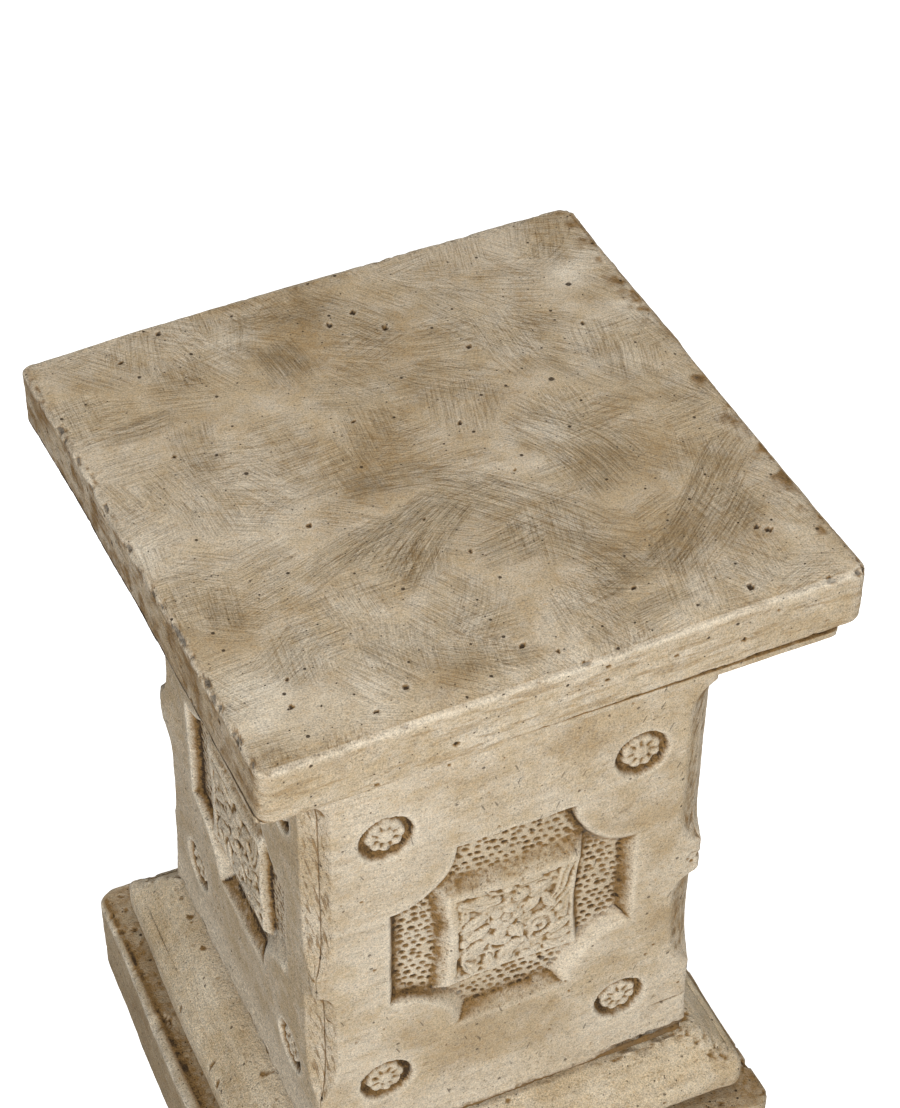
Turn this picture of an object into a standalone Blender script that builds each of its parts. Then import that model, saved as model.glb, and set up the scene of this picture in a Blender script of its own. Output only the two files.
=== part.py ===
"""Square cast-stone garden pedestal: a thick cap slab on a hollow shaft of four carved, mitred panels,
a sloping base moulding and a square plinth, bedded in mortar and pinned with steel dowels.

Metres, +Z up. The origin is the middle of the underside. The front panel faces -Y, the right panel +X.
"""

import math

import bmesh
import bpy
from mathutils import Matrix, Vector

# Heights of the courses, from the ground up
PLINTH_HEIGHT = 0.0575
PLINTH_JOINT_HEIGHT = 0.0050
MOULDING_HEIGHT = 0.0345
FOOT_JOINT_HEIGHT = 0.0050
SHAFT_HEIGHT = 0.3350
CAP_JOINT_HEIGHT = 0.0015
CAP_HEIGHT = 0.0345

PLINTH_TOP = PLINTH_HEIGHT
MOULDING_BOTTOM = PLINTH_TOP + PLINTH_JOINT_HEIGHT
MOULDING_TOP = MOULDING_BOTTOM + MOULDING_HEIGHT
SHAFT_BOTTOM = MOULDING_TOP + FOOT_JOINT_HEIGHT
SHAFT_TOP = SHAFT_BOTTOM + SHAFT_HEIGHT
CAP_BOTTOM = SHAFT_TOP + CAP_JOINT_HEIGHT
CAP_TOP = CAP_BOTTOM + CAP_HEIGHT

# Half widths of the square courses
CAP_HALF = 0.1525
CAP_JOINT_HALF = 0.1446
FLANGE_HALF = 0.1488
SHAFT_HALF = 0.1098
SHAFT_FOOT_HALF = 0.1112
SHAFT_INNER_HALF = 0.0800
FOOT_JOINT_HALF = 0.1088
MOULDING_HALF = 0.1342
PLINTH_JOINT_HALF = 0.1240
PLINTH_HALF = 0.1479

# Rounded plan corners and arrises
CAP_CORNER_RADIUS = 0.0070
CAP_TOP_ARRIS = 0.0035
CAP_BOTTOM_ARRIS = 0.0020
MOULDING_CORNER_RADIUS = 0.0070
PLINTH_CORNER_RADIUS = 0.0090
PLINTH_ARRIS = 0.0030
JOINT_CORNER_RADIUS = 0.0040
CORNER_TAPER = 0.5

# Head of the shaft: a thin flange over a cove
FLANGE_HEIGHT = 0.0050
FLANGE_ARRIS = 0.0012
COVE_FILLET = 0.0040
COVE_HEIGHT = 0.0430
COVE_STEPS = 7

# Foot of the shaft: a slight flare
FLARE_HEIGHT = 0.0400
FLARE_STEPS = 4

# Base moulding, from its lip down the slope and round the nose:
# (inset from the nose, height above the underside)
MOULDING_SECTION = (
    (0.0225, 0.0345),
    (0.0217, 0.0339),
    (0.0028, 0.0168),
    (0.0008, 0.0144),
    (0.0000, 0.0114),
    (0.0000, 0.0062),
    (0.0010, 0.0032),
    (0.0035, 0.0000),
)

# Stop chamfers on the corners of the shaft, two above each other: (top, bottom, top run, bottom run)
CHAMFER_LEG = 0.0143
CHAMFERS = (
    (0.3815, 0.2560, 0.0210, 0.0210),
    (0.2330, 0.1490, 0.0190, 0.0340),
)
CHAMFER_END_STEPS = 6

# Carved field in the middle of each panel
FIELD_CENTRE_Z = 0.2520
FIELD_WIDTH = 0.1400
FIELD_HEIGHT = 0.1436
FIELD_BITE_RADIUS = 0.0350
FIELD_BITE_STEPS = 8
FIELD_BITE_FLOOR_GROWTH = 0.0018
FIELD_DEPTH = 0.0060
FIELD_WALL_RUN = 0.0060
BLOCK_CENTRE_Z = 0.2482
BLOCK_WIDTH = 0.0730
BLOCK_HEIGHT = 0.0668
BLOCK_SLOPE_RUN = 0.0076
BLOCK_EMBED = 0.0020

# Round wells that leave a flower boss standing, near the corners of each panel
WELL_CENTRES_Z = (0.3450, 0.1505)
WELL_CENTRE_X = 0.0690
WELL_STEPS = 24
# The well's cutter, from above the face down the wall and up the boss: (radius, depth below the face)
WELL_SECTION = (
    (0.0164, -0.0030),
    (0.0154, 0.0000),
    (0.0138, 0.0045),
    (0.0120, 0.0045),
    (0.0114, 0.0026),
    (0.0094, 0.0018),
)

# Steel dowels
DOWEL_RADIUS = 0.0040
DOWEL_HOLE_RADIUS = 0.0044
DOWEL_EMBED = 0.0160
DOWEL_AXIS_HALF = 0.0955
PLINTH_DOWEL_X = 0.0600
DOWEL_STEPS = 20

# Mortar run down the inner corners of the hollow shaft
CORNER_FILLET_LEG = 0.0180
CORNER_FILLET_HOLLOW_RADIUS = 0.0135
CORNER_FILLET_HOLLOW_SETBACK = 0.0162
CORNER_FILLET_STEPS = 5
CORNER_FILLET_END_SETBACK = 0.0020

GAP = 0.0003
MITRE_SETBACK = 0.5 * GAP * math.sqrt(2.0)
CORNER_STEPS = 4
CUTTER_REACH = 0.0300
FIELD_CUTTER_PROUD = 0.0040

SIDES = ("front", "right", "back", "left")


def clear_scene():
    for obj in list(bpy.data.objects):
        bpy.data.objects.remove(obj)


def material(name, colour, roughness, metallic=0.0):
    made = bpy.data.materials.new(name)
    made.use_nodes = True
    shader = made.node_tree.nodes["Principled BSDF"]
    shader.inputs["Base Color"].default_value = (*colour, 1.0)
    shader.inputs["Roughness"].default_value = roughness
    shader.inputs["Metallic"].default_value = metallic
    made.diffuse_color = (*colour, 1.0)
    return made


def add_object(name, bm, surface=None):
    """Links a new object made from bm, with its faces turned outwards."""
    bmesh.ops.recalc_face_normals(bm, faces=bm.faces)
    mesh = bpy.data.meshes.new(name)
    bm.to_mesh(mesh)
    bm.free()
    if surface:
        mesh.materials.append(surface)
    obj = bpy.data.objects.new(name, mesh)
    bpy.context.scene.collection.objects.link(obj)
    return obj


def bridge(bm, upper, lower):
    """Joins two rings of the same length with a band of faces."""
    count = len(upper)
    for i in range(count):
        j = (i + 1) % count
        bm.faces.new((upper[i], upper[j], lower[j], lower[i]))


def rounded_square(half, radius):
    """The outline of a square with rounded corners, anticlockwise, as (x, y) pairs."""
    points = []
    for quarter in range(4):
        turn = Matrix.Rotation(quarter * math.pi / 2, 2)
        for step in range(CORNER_STEPS + 1):
            angle = step / CORNER_STEPS * math.pi / 2
            x = half - radius + radius * math.cos(angle)
            y = half - radius + radius * math.sin(angle)
            points.append(turn @ Vector((x, y)))
    return points


def outline_ring(bm, outline, z):
    return [bm.verts.new((x, y, z)) for x, y in outline]


def square_course(name, section, radius, surface):
    """A solid square block; section lists (half width, z) down its outer side."""
    bm = bmesh.new()
    rings = []
    widest = max(half for half, _ in section)
    for half, z in section:
        rings.append(outline_ring(bm, rounded_square(half, radius - CORNER_TAPER * (widest - half)), z))
    for upper, lower in zip(rings, rings[1:]):
        bridge(bm, upper, lower)
    bm.faces.new(rings[0])
    bm.faces.new(rings[-1])
    return add_object(name, bm, surface)


def arris(half, z, radius, towards, steps=3):
    """(half width, z) points round an arris; towards is +1 down from a top face, -1 down to an underside."""
    points = []
    for step in range(steps + 1):
        angle = step / steps * math.pi / 2
        across = math.sin(angle) if towards > 0 else math.cos(angle)
        along = math.cos(angle) if towards > 0 else math.sin(angle)
        points.append((half - radius + radius * across, z - towards * radius * (1 - along)))
    return points


def square_ring_plate(name, outer_half, inner_half, low, high, surface):
    """A flat square ring, such as a mortar bed under the hollow shaft."""
    bm = bmesh.new()
    outer = rounded_square(outer_half, JOINT_CORNER_RADIUS)
    inner = rounded_square(inner_half, JOINT_CORNER_RADIUS)
    outer_low = outline_ring(bm, outer, low)
    outer_high = outline_ring(bm, outer, high)
    inner_low = outline_ring(bm, inner, low)
    inner_high = outline_ring(bm, inner, high)
    bridge(bm, outer_high, outer_low)
    bridge(bm, inner_low, inner_high)
    bridge(bm, inner_high, outer_high)
    bridge(bm, outer_low, inner_low)
    return add_object(name, bm, surface)


def extruded(name, outline, low, high, surface=None):
    """A prism standing on a polygon given as (x, y) pairs."""
    bm = bmesh.new()
    bottom = outline_ring(bm, outline, low)
    top = outline_ring(bm, outline, high)
    bridge(bm, top, bottom)
    bm.faces.new(top)
    bm.faces.new(bottom)
    return add_object(name, bm, surface)


def circle(x, y, radius, steps):
    turns = [step / steps * math.tau for step in range(steps)]
    return [(x + radius * math.cos(a), y + radius * math.sin(a)) for a in turns]


def combine(target, tools, operation):
    """Applies one exact Boolean per tool to the target, then deletes the tools."""
    for tool in tools:
        tool.hide_render = True
        tool.display_type = "WIRE"
        boolean = target.modifiers.new(tool.name, "BOOLEAN")
        boolean.operation = operation
        boolean.solver = "EXACT"
        boolean.object = tool
    depsgraph = bpy.context.evaluated_depsgraph_get()
    solid = bpy.data.meshes.new_from_object(target.evaluated_get(depsgraph))
    target.modifiers.clear()
    target.data = solid
    for tool in tools:
        bpy.data.objects.remove(tool)


def cut(target, cutters):
    combine(target, cutters, "DIFFERENCE")


def smooth(obj, degrees=35.0):
    obj.data.shade_smooth()
    obj.data.set_sharp_from_angle(angle=math.radians(degrees))


def dowel_places():
    """(side name, x, y) of the dowel in the middle of each panel's wall."""
    places = []
    for index, side in enumerate(SIDES):
        turn = Matrix.Rotation(index * math.pi / 2, 2)
        x, y = turn @ Vector((0.0, -DOWEL_AXIS_HALF))
        places.append((side, x, y))
    return places


def plinth_dowel_places():
    return (("left", -PLINTH_DOWEL_X, 0.0), ("right", PLINTH_DOWEL_X, 0.0))


def dowel_holes(places, low, high):
    return [
        extruded(f"hole_{side}", circle(x, y, DOWEL_HOLE_RADIUS, DOWEL_STEPS), low, high)
        for side, x, y in places
    ]


def dowels(prefix, places, joint_low, joint_high, surface):
    """One steel pin per place, set the same depth into the pieces below and above the joint."""
    for side, x, y in places:
        low = joint_low - DOWEL_EMBED + GAP
        high = joint_high + DOWEL_EMBED - GAP
        pin = extruded(f"{prefix}_{side}", circle(x, y, DOWEL_RADIUS, DOWEL_STEPS), low, high, surface)
        smooth(pin)


def cap_slab(surface):
    section = arris(CAP_HALF, CAP_TOP, CAP_TOP_ARRIS, 1)
    section += arris(CAP_HALF, CAP_BOTTOM, CAP_BOTTOM_ARRIS, -1)
    slab = square_course("cap_slab", section, CAP_CORNER_RADIUS, surface)
    cut(slab, dowel_holes(dowel_places(), CAP_BOTTOM - CUTTER_REACH, CAP_BOTTOM + DOWEL_EMBED))
    smooth(slab)


def ring_joint(name, outer_half, low, high, surface):
    bed = square_ring_plate(name, outer_half, SHAFT_INNER_HALF, low + GAP, high - GAP, surface)
    cut(bed, dowel_holes(dowel_places(), low - CUTTER_REACH, high + CUTTER_REACH))


def panel_section():
    """(half width, z) points round a shaft panel's upright section, from its inner top edge, clockwise."""
    flange_bottom = SHAFT_TOP - FLANGE_HEIGHT
    cove_bottom = flange_bottom - COVE_HEIGHT
    cove_top_half = FLANGE_HALF - COVE_FILLET
    points = [(SHAFT_INNER_HALF, SHAFT_TOP)]
    points += [(FLANGE_HALF - FLANGE_ARRIS, SHAFT_TOP), (FLANGE_HALF, SHAFT_TOP - FLANGE_ARRIS)]
    points += [(FLANGE_HALF, flange_bottom + FLANGE_ARRIS), (FLANGE_HALF - FLANGE_ARRIS, flange_bottom)]
    for step in range(COVE_STEPS + 1):
        angle = (1 - step / COVE_STEPS) * math.pi / 2
        half = cove_top_half - (cove_top_half - SHAFT_HALF) * math.cos(angle)
        points.append((half, cove_bottom + COVE_HEIGHT * math.sin(angle)))
    for step in range(FLARE_STEPS + 1):
        share = step / FLARE_STEPS
        half = SHAFT_HALF + (SHAFT_FOOT_HALF - SHAFT_HALF) * share**2
        points.append((half, SHAFT_BOTTOM + FLARE_HEIGHT * (1 - share)))
    points.append((SHAFT_INNER_HALF, SHAFT_BOTTOM))
    return points


def panel_blank(surface):
    """The front panel before carving: its section swept across and mitred at both ends."""
    bm = bmesh.new()
    left = []
    right = []
    for half, z in panel_section():
        left.append(bm.verts.new((-half + MITRE_SETBACK, -half, z)))
        right.append(bm.verts.new((half - MITRE_SETBACK, -half, z)))
    bridge(bm, left, right)
    bm.faces.new(left)
    bm.faces.new(right)
    return add_object("shaft_panel_front", bm, surface)


def chamfer_cutter(side, top, bottom, top_run, bottom_run):
    """The stone a stop chamfer takes off a corner: a scooped outline, swept square to the diagonal."""
    depth = CHAMFER_LEG / math.sqrt(2.0)
    corner = SHAFT_HALF * math.sqrt(2.0)
    outline = []
    for step in range(CHAMFER_END_STEPS + 1):
        angle = step / CHAMFER_END_STEPS * math.pi / 2
        outline.append((corner - depth * math.sin(angle), top - top_run * (1 - math.cos(angle))))
    for step in range(CHAMFER_END_STEPS + 1):
        angle = (1 - step / CHAMFER_END_STEPS) * math.pi / 2
        outline.append((corner - depth * math.sin(angle), bottom + bottom_run * (1 - math.cos(angle))))
    outline.append((corner + depth, bottom))
    outline.append((corner + depth, top))
    outwards = Vector((side, -1.0, 0.0)).normalized()
    across = Vector((-side, -1.0, 0.0)).normalized()
    bm = bmesh.new()
    rings = []
    for reach in (-CUTTER_REACH, CUTTER_REACH):
        ring = []
        for out, z in outline:
            place = outwards * out + across * reach
            ring.append(bm.verts.new((place.x, place.y, z)))
        rings.append(ring)
    bridge(bm, *rings)
    bm.faces.new(rings[0])
    bm.faces.new(rings[1])
    return add_object("chamfer_cutter", bm)


def bitten_square(width, height, bite, centre_z):
    """A rectangle whose corners are bitten out by quarter circles, as (x, z) pairs, anticlockwise."""
    points = []
    for sx, sz, start in ((1, 1, 270), (-1, 1, 0), (-1, -1, 90), (1, -1, 180)):
        for step in range(FIELD_BITE_STEPS + 1):
            angle = math.radians(start - 90 * step / FIELD_BITE_STEPS)
            x = sx * width / 2 + bite * math.cos(angle)
            z = centre_z + sz * height / 2 + bite * math.sin(angle)
            points.append((x, z))
    return points


def rectangle(width, height, centre_z):
    """An upright rectangle as (x, z) pairs, anticlockwise."""
    return [
        (sx * width / 2, centre_z + sz * height / 2)
        for sx, sz in ((1, 1), (-1, 1), (-1, -1), (1, -1))
    ]


def field_cutter():
    """What is carved out for the field: a bitten square with sloping walls."""
    bm = bmesh.new()
    face_y = -SHAFT_HALF
    floor_y = face_y + FIELD_DEPTH
    spread = FIELD_WALL_RUN / FIELD_DEPTH * FIELD_CUTTER_PROUD
    outer_rim = bitten_square(
        FIELD_WIDTH + 2 * spread,
        FIELD_HEIGHT + 2 * spread,
        FIELD_BITE_RADIUS - spread,
        FIELD_CENTRE_Z,
    )
    outer_floor = bitten_square(
        FIELD_WIDTH - 2 * FIELD_WALL_RUN,
        FIELD_HEIGHT - 2 * FIELD_WALL_RUN,
        FIELD_BITE_RADIUS + FIELD_BITE_FLOOR_GROWTH,
        FIELD_CENTRE_Z,
    )
    rim = [bm.verts.new((x, face_y - FIELD_CUTTER_PROUD, z)) for x, z in outer_rim]
    floor = [bm.verts.new((x, floor_y, z)) for x, z in outer_floor]
    bridge(bm, rim, floor)
    bm.faces.new(rim)
    bm.faces.new(floor)
    return add_object("field_cutter", bm)


def block_solid(surface):
    """The raised square block in the field, with sloping sides, standing on the field's floor."""
    bm = bmesh.new()
    face_y = -SHAFT_HALF
    base_y = face_y + FIELD_DEPTH + BLOCK_EMBED
    slope = BLOCK_SLOPE_RUN / FIELD_DEPTH
    base_grow = 2 * slope * (base_y - face_y)
    top = rectangle(BLOCK_WIDTH, BLOCK_HEIGHT, BLOCK_CENTRE_Z)
    base = rectangle(BLOCK_WIDTH + base_grow, BLOCK_HEIGHT + base_grow, BLOCK_CENTRE_Z)
    top_ring = [bm.verts.new((x, face_y, z)) for x, z in top]
    base_ring = [bm.verts.new((x, base_y, z)) for x, z in base]
    bridge(bm, top_ring, base_ring)
    bm.faces.new(top_ring)
    bm.faces.new(base_ring)
    return add_object("block_solid", bm, surface)


def well_cutter(x, z):
    """A round well that leaves a low boss standing in its middle."""
    bm = bmesh.new()
    face_y = -SHAFT_HALF
    rings = []
    for radius, depth in WELL_SECTION:
        outline = circle(x, z, radius, WELL_STEPS)
        rings.append([bm.verts.new((px, face_y + depth, pz)) for px, pz in outline])
    for upper, lower in zip(rings, rings[1:]):
        bridge(bm, upper, lower)
    bm.faces.new(rings[0])
    bm.faces.new(rings[-1])
    return add_object("well_cutter", bm)


def shaft_panels(surface):
    """Carves the front panel, then stands a copy of it on each side."""
    front = panel_blank(surface)
    cut(front, [field_cutter()])
    combine(front, [block_solid(surface)], "UNION")
    cutters = [chamfer_cutter(side, *chamfer) for side in (-1, 1) for chamfer in CHAMFERS]
    cutters += [well_cutter(side * WELL_CENTRE_X, z) for side in (-1, 1) for z in WELL_CENTRES_Z]
    hole = [(side, x, y) for side, x, y in dowel_places() if side == "front"]
    cutters += dowel_holes(hole, SHAFT_TOP - DOWEL_EMBED, SHAFT_TOP + CUTTER_REACH)
    cutters += dowel_holes(hole, SHAFT_BOTTOM - CUTTER_REACH, SHAFT_BOTTOM + DOWEL_EMBED)
    cut(front, cutters)
    smooth(front, 25.0)
    for index, side in enumerate(SIDES[1:], start=1):
        panel = bpy.data.objects.new(f"shaft_panel_{side}", front.data)
        panel.rotation_euler.z = index * math.pi / 2
        bpy.context.scene.collection.objects.link(panel)


def corner_fillets(surface):
    """The mortar run down each inner corner, with a hollow face."""
    corner = SHAFT_INNER_HALF - GAP
    hollow = corner - CORNER_FILLET_HOLLOW_SETBACK
    outline = [(corner, corner), (corner - CORNER_FILLET_LEG, corner)]
    for step in range(1, CORNER_FILLET_STEPS):
        angle = step / CORNER_FILLET_STEPS * math.pi / 2
        across = CORNER_FILLET_HOLLOW_RADIUS * math.sin(angle)
        along = CORNER_FILLET_HOLLOW_RADIUS * math.cos(angle)
        outline.append((hollow + across, hollow + along))
    outline.append((corner, corner - CORNER_FILLET_LEG))
    names = ("back_right", "back_left", "front_left", "front_right")
    for index, name in enumerate(names):
        turn = Matrix.Rotation(index * math.pi / 2, 2)
        turned = [turn @ Vector(point) for point in outline]
        low = SHAFT_BOTTOM + CORNER_FILLET_END_SETBACK
        high = SHAFT_TOP - CORNER_FILLET_END_SETBACK
        fillet = extruded(f"corner_fillet_{name}", turned, low, high, surface)
        smooth(fillet)


def base_moulding(surface):
    section = [(MOULDING_HALF - inset, MOULDING_BOTTOM + height) for inset, height in MOULDING_SECTION]
    moulding = square_course("base_moulding", section, MOULDING_CORNER_RADIUS, surface)
    holes = dowel_holes(dowel_places(), MOULDING_TOP - DOWEL_EMBED, MOULDING_TOP + CUTTER_REACH)
    holes += dowel_holes(plinth_dowel_places(), MOULDING_BOTTOM - CUTTER_REACH, MOULDING_BOTTOM + DOWEL_EMBED)
    cut(moulding, holes)
    smooth(moulding)


def plinth_joint(surface):
    section = [(PLINTH_JOINT_HALF, MOULDING_BOTTOM - GAP), (PLINTH_JOINT_HALF, PLINTH_TOP + GAP)]
    bed = square_course("plinth_joint", section, JOINT_CORNER_RADIUS, surface)
    cut(bed, dowel_holes(plinth_dowel_places(), PLINTH_TOP - CUTTER_REACH, MOULDING_BOTTOM + CUTTER_REACH))


def plinth(surface):
    section = arris(PLINTH_HALF, PLINTH_TOP, PLINTH_ARRIS, 1) + arris(PLINTH_HALF, 0.0, PLINTH_ARRIS, -1)
    block = square_course("plinth", section, PLINTH_CORNER_RADIUS, surface)
    cut(block, dowel_holes(plinth_dowel_places(), PLINTH_TOP - DOWEL_EMBED, PLINTH_TOP + CUTTER_REACH))
    smooth(block)


def main():
    clear_scene()
    cap_stone = material("cap_stone", (0.52, 0.43, 0.31), 0.85)
    shaft_stone = material("shaft_stone", (0.62, 0.52, 0.38), 0.85)
    base_stone = material("base_stone", (0.50, 0.42, 0.30), 0.88)
    mortar = material("mortar", (0.20, 0.14, 0.08), 0.95)
    steel = material("dowel_steel", (0.55, 0.55, 0.56), 0.40, 1.0)

    cap_slab(cap_stone)
    ring_joint("cap_joint", CAP_JOINT_HALF, SHAFT_TOP, CAP_BOTTOM, mortar)
    shaft_panels(shaft_stone)
    corner_fillets(mortar)
    ring_joint("shaft_foot_joint", FOOT_JOINT_HALF, MOULDING_TOP, SHAFT_BOTTOM, mortar)
    base_moulding(base_stone)
    plinth_joint(mortar)
    plinth(base_stone)
    dowels("cap_dowel", dowel_places(), SHAFT_TOP, CAP_BOTTOM, steel)
    dowels("foot_dowel", dowel_places(), MOULDING_TOP, SHAFT_BOTTOM, steel)
    dowels("plinth_dowel", plinth_dowel_places(), PLINTH_TOP, MOULDING_BOTTOM, steel)


main()
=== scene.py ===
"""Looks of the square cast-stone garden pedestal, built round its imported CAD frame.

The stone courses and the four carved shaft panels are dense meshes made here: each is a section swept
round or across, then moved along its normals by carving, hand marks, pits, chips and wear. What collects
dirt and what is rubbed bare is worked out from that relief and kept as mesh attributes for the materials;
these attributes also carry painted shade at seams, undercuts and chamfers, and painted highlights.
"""
import math
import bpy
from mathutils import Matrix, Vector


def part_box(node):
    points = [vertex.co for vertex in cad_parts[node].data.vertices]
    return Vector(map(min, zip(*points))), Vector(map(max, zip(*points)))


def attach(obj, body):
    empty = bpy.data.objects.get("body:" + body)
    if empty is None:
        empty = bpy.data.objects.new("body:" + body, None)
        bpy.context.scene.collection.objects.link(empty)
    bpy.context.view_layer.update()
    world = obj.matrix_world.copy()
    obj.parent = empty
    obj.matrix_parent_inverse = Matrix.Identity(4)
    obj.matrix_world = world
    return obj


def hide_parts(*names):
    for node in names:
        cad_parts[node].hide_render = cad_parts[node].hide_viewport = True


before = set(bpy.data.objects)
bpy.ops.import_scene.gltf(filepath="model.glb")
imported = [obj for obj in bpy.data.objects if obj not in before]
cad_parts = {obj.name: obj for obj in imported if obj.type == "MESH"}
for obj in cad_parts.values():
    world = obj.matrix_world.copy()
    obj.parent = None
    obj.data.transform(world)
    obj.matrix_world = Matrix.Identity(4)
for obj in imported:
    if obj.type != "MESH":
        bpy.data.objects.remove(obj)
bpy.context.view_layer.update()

from types import SimpleNamespace

import bpy
import numpy as np
from mathutils import Matrix, Vector

MM = 0.001

# ---------------- places, from the frame
CAP_LOW, CAP_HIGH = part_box("cap_slab")
PANEL_LOW, PANEL_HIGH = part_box("shaft_panel_front")
FOOT_LOW, FOOT_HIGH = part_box("shaft_foot_joint")
MOULDING_LOW, MOULDING_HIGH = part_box("base_moulding")
PLINTH_JOINT_LOW, PLINTH_JOINT_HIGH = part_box("plinth_joint")
PLINTH_LOW, PLINTH_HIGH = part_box("plinth")
CAP_JOINT_LOW, CAP_JOINT_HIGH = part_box("cap_joint")

CAP_HALF = CAP_HIGH[0]
CAP_TOP = CAP_HIGH[2]
CAP_BOTTOM = CAP_LOW[2]
FLANGE_HALF = -PANEL_LOW[1]
PANEL_INNER_HALF = -PANEL_HIGH[1]
SHAFT_TOP = PANEL_HIGH[2]
SHAFT_BOTTOM = PANEL_LOW[2]
MOULDING_HALF = MOULDING_HIGH[0]
MOULDING_TOP = MOULDING_HIGH[2]
MOULDING_BOTTOM = MOULDING_LOW[2]
PLINTH_HALF = PLINTH_HIGH[0]
PLINTH_TOP = PLINTH_HIGH[2]

# ---------------- sizes of the shaft and its carving
SHAFT_HALF = 109.8 * MM
SHAFT_FOOT_HALF = 111.2 * MM
FLANGE_HEIGHT = 5.0 * MM
FLANGE_ARRIS = 1.2 * MM
COVE_FILLET = 4.0 * MM
COVE_HEIGHT = 43.0 * MM
FLARE_HEIGHT = 40.0 * MM
CORNER_ROUNDING_LEG = 2.2 * MM

FIELD_CENTRE = (1.0 * MM, 248.5 * MM)
FIELD_HALF_WIDTH = 70.0 * MM
FIELD_HALF_HEIGHT = 72.8 * MM
FIELD_BITE_RADIUS = 36.5 * MM
FIELD_DEPTH = 6.0 * MM
BLOCK_CENTRE = (0.0, 246.8 * MM)
BLOCK_HALF_WIDTH = 35.8 * MM
BLOCK_HALF_HEIGHT = 33.4 * MM
DOT_PITCH = (5.0 * MM, 4.5 * MM)
DOT_RADIUS = 2.1 * MM
DOT_DEPTH = 1.15 * MM
WELL_RADIUS = 15.2 * MM
WELL_DEPTH = 4.5 * MM
BOSS_RADIUS = 10.4 * MM
BOSS_TOP_DEPTH = 1.2 * MM

SIDES = ("front", "right", "back", "left")


# ---------------- numbers: easing and noise
def smoothstep(low, high, value):
    """Eases from 0 at low to 1 at high; low may be the larger."""
    t = np.clip((value - low) / (high - low), 0.0, 1.0)
    return t * t * (3.0 - 2.0 * t)


def bell(distance, width):
    """1 where the distance is nothing, fading out over about the width."""
    return np.exp(-((distance / width) ** 2))


def smooth_min(a, b, k):
    """The smaller of two fields, rounded over a width k where they meet."""
    h = np.clip(0.5 + 0.5 * (b - a) / k, 0.0, 1.0)
    return b + (a - b) * h - k * h * (1.0 - h)


def hashed(ix, iy, iz, seed):
    """A repeatable random number from -1 to 1 for each lattice point."""
    n = ix * 374761393 + iy * 668265263 + iz * 1103515245 + seed * 1274126177
    n = (n ^ (n >> 13)) * 1274126177
    n = (n ^ (n >> 16)) & 0x7FFFFFFF
    return n / float(0x3FFFFFFF) - 1.0


def value_noise(points, size, seed):
    """Smooth 3-D noise from -1 to 1 with features of about the given size."""
    scaled = points / size
    cell = np.floor(scaled).astype(np.int64)
    f = scaled - cell
    f = f * f * f * (f * (f * 6.0 - 15.0) + 10.0)
    total = np.zeros(points.shape[:-1])
    for dx in (0, 1):
        wx = f[..., 0] if dx else 1.0 - f[..., 0]
        for dy in (0, 1):
            wy = f[..., 1] if dy else 1.0 - f[..., 1]
            for dz in (0, 1):
                wz = f[..., 2] if dz else 1.0 - f[..., 2]
                corner = (cell[..., 0] + dx, cell[..., 1] + dy, cell[..., 2] + dz)
                total += wx * wy * wz * hashed(*corner, seed)
    return total


def fractal(points, size, octaves, seed):
    """Noise from about -1 to 1 in octaves, each half the size and half the weight of the one before."""
    total = np.zeros(points.shape[:-1])
    weight = 1.0
    for octave in range(octaves):
        total += weight * value_noise(points, size / 2.0**octave, seed + 17 * octave)
        weight *= 0.5
    return total / (2.0 - 2.0 ** (1 - octaves))


def uneven(points, *layers):
    """The sum of layers of noise, each (height in millimetres, size in millimetres, octaves, seed)."""
    total = 0.0
    for height, size, octaves, seed in layers:
        total = total + height * MM * fractal(points, size * MM, octaves, seed)
    return total


def stretched_along(points, share):
    """Places for noise that is drawn out level, round the sides."""
    return points * np.array([share, share, 1.0])


def blur_matrix(places, sigma, loop_length=None):
    """Weights that average each place with those within about two sigma of it."""
    apart = np.abs(places[:, None] - places[None, :])
    if loop_length:
        apart = np.minimum(apart, loop_length - apart)
    weights = np.exp(-0.5 * (apart / sigma) ** 2)
    return weights / weights.sum(axis=1, keepdims=True)


def blurred(field, row_places, column_places, sigma, loop_length=None):
    rows = blur_matrix(row_places, sigma)
    columns = blur_matrix(column_places, sigma, loop_length)
    return rows @ field @ columns.T


def relief_layers(relief, rows, columns, loop_length=None):
    """Dirt (in hollows) and wear (on ridges) of a relief given in metres proud, each from 0 to 1."""
    fine = relief - blurred(relief, rows, columns, 1.3 * MM, loop_length)
    wide = relief - blurred(relief, rows, columns, 3.6 * MM, loop_length)
    dirt = np.clip(-fine / (0.45 * MM), 0.0, 1.0) * 0.6 + np.clip(-wide / (2.0 * MM), 0.0, 1.0) * 0.55
    wear = np.clip(fine / (0.30 * MM), 0.0, 1.0) * 0.6 + np.clip(wide / (1.2 * MM), 0.0, 1.0) * 0.6
    return np.clip(dirt, 0.0, 1.0), np.clip(wear, 0.0, 1.0)


# ---------------- meshes and sections
def make_mesh(name, points, faces, layers):
    """A mesh object from an (n, 3) array and a list of faces, with a named float or vector per point."""
    mesh = bpy.data.meshes.new(name)
    mesh.from_pydata(points.tolist(), [], faces)
    mesh.validate()
    mesh.update()
    for layer, values in layers.items():
        kind, field = ("FLOAT_VECTOR", "vector") if values.ndim == 2 else ("FLOAT", "value")
        attribute = mesh.attributes.new(layer, kind, "POINT")
        attribute.data.foreach_set(field, values.astype(np.float32).ravel())
    mesh.shade_smooth()
    obj = bpy.data.objects.new(name, mesh)
    bpy.context.scene.collection.objects.link(obj)
    return obj


def grid_faces(numbers, closed):
    """Quads between the rows of a grid of point numbers; closed joins each row's end to its start."""
    if closed:
        numbers = np.concatenate([numbers, numbers[:, :1]], axis=1)
    quads = np.stack([numbers[:-1, :-1], numbers[1:, :-1], numbers[1:, 1:], numbers[:-1, 1:]], axis=-1)
    return quads.reshape(-1, 4).tolist()


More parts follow.
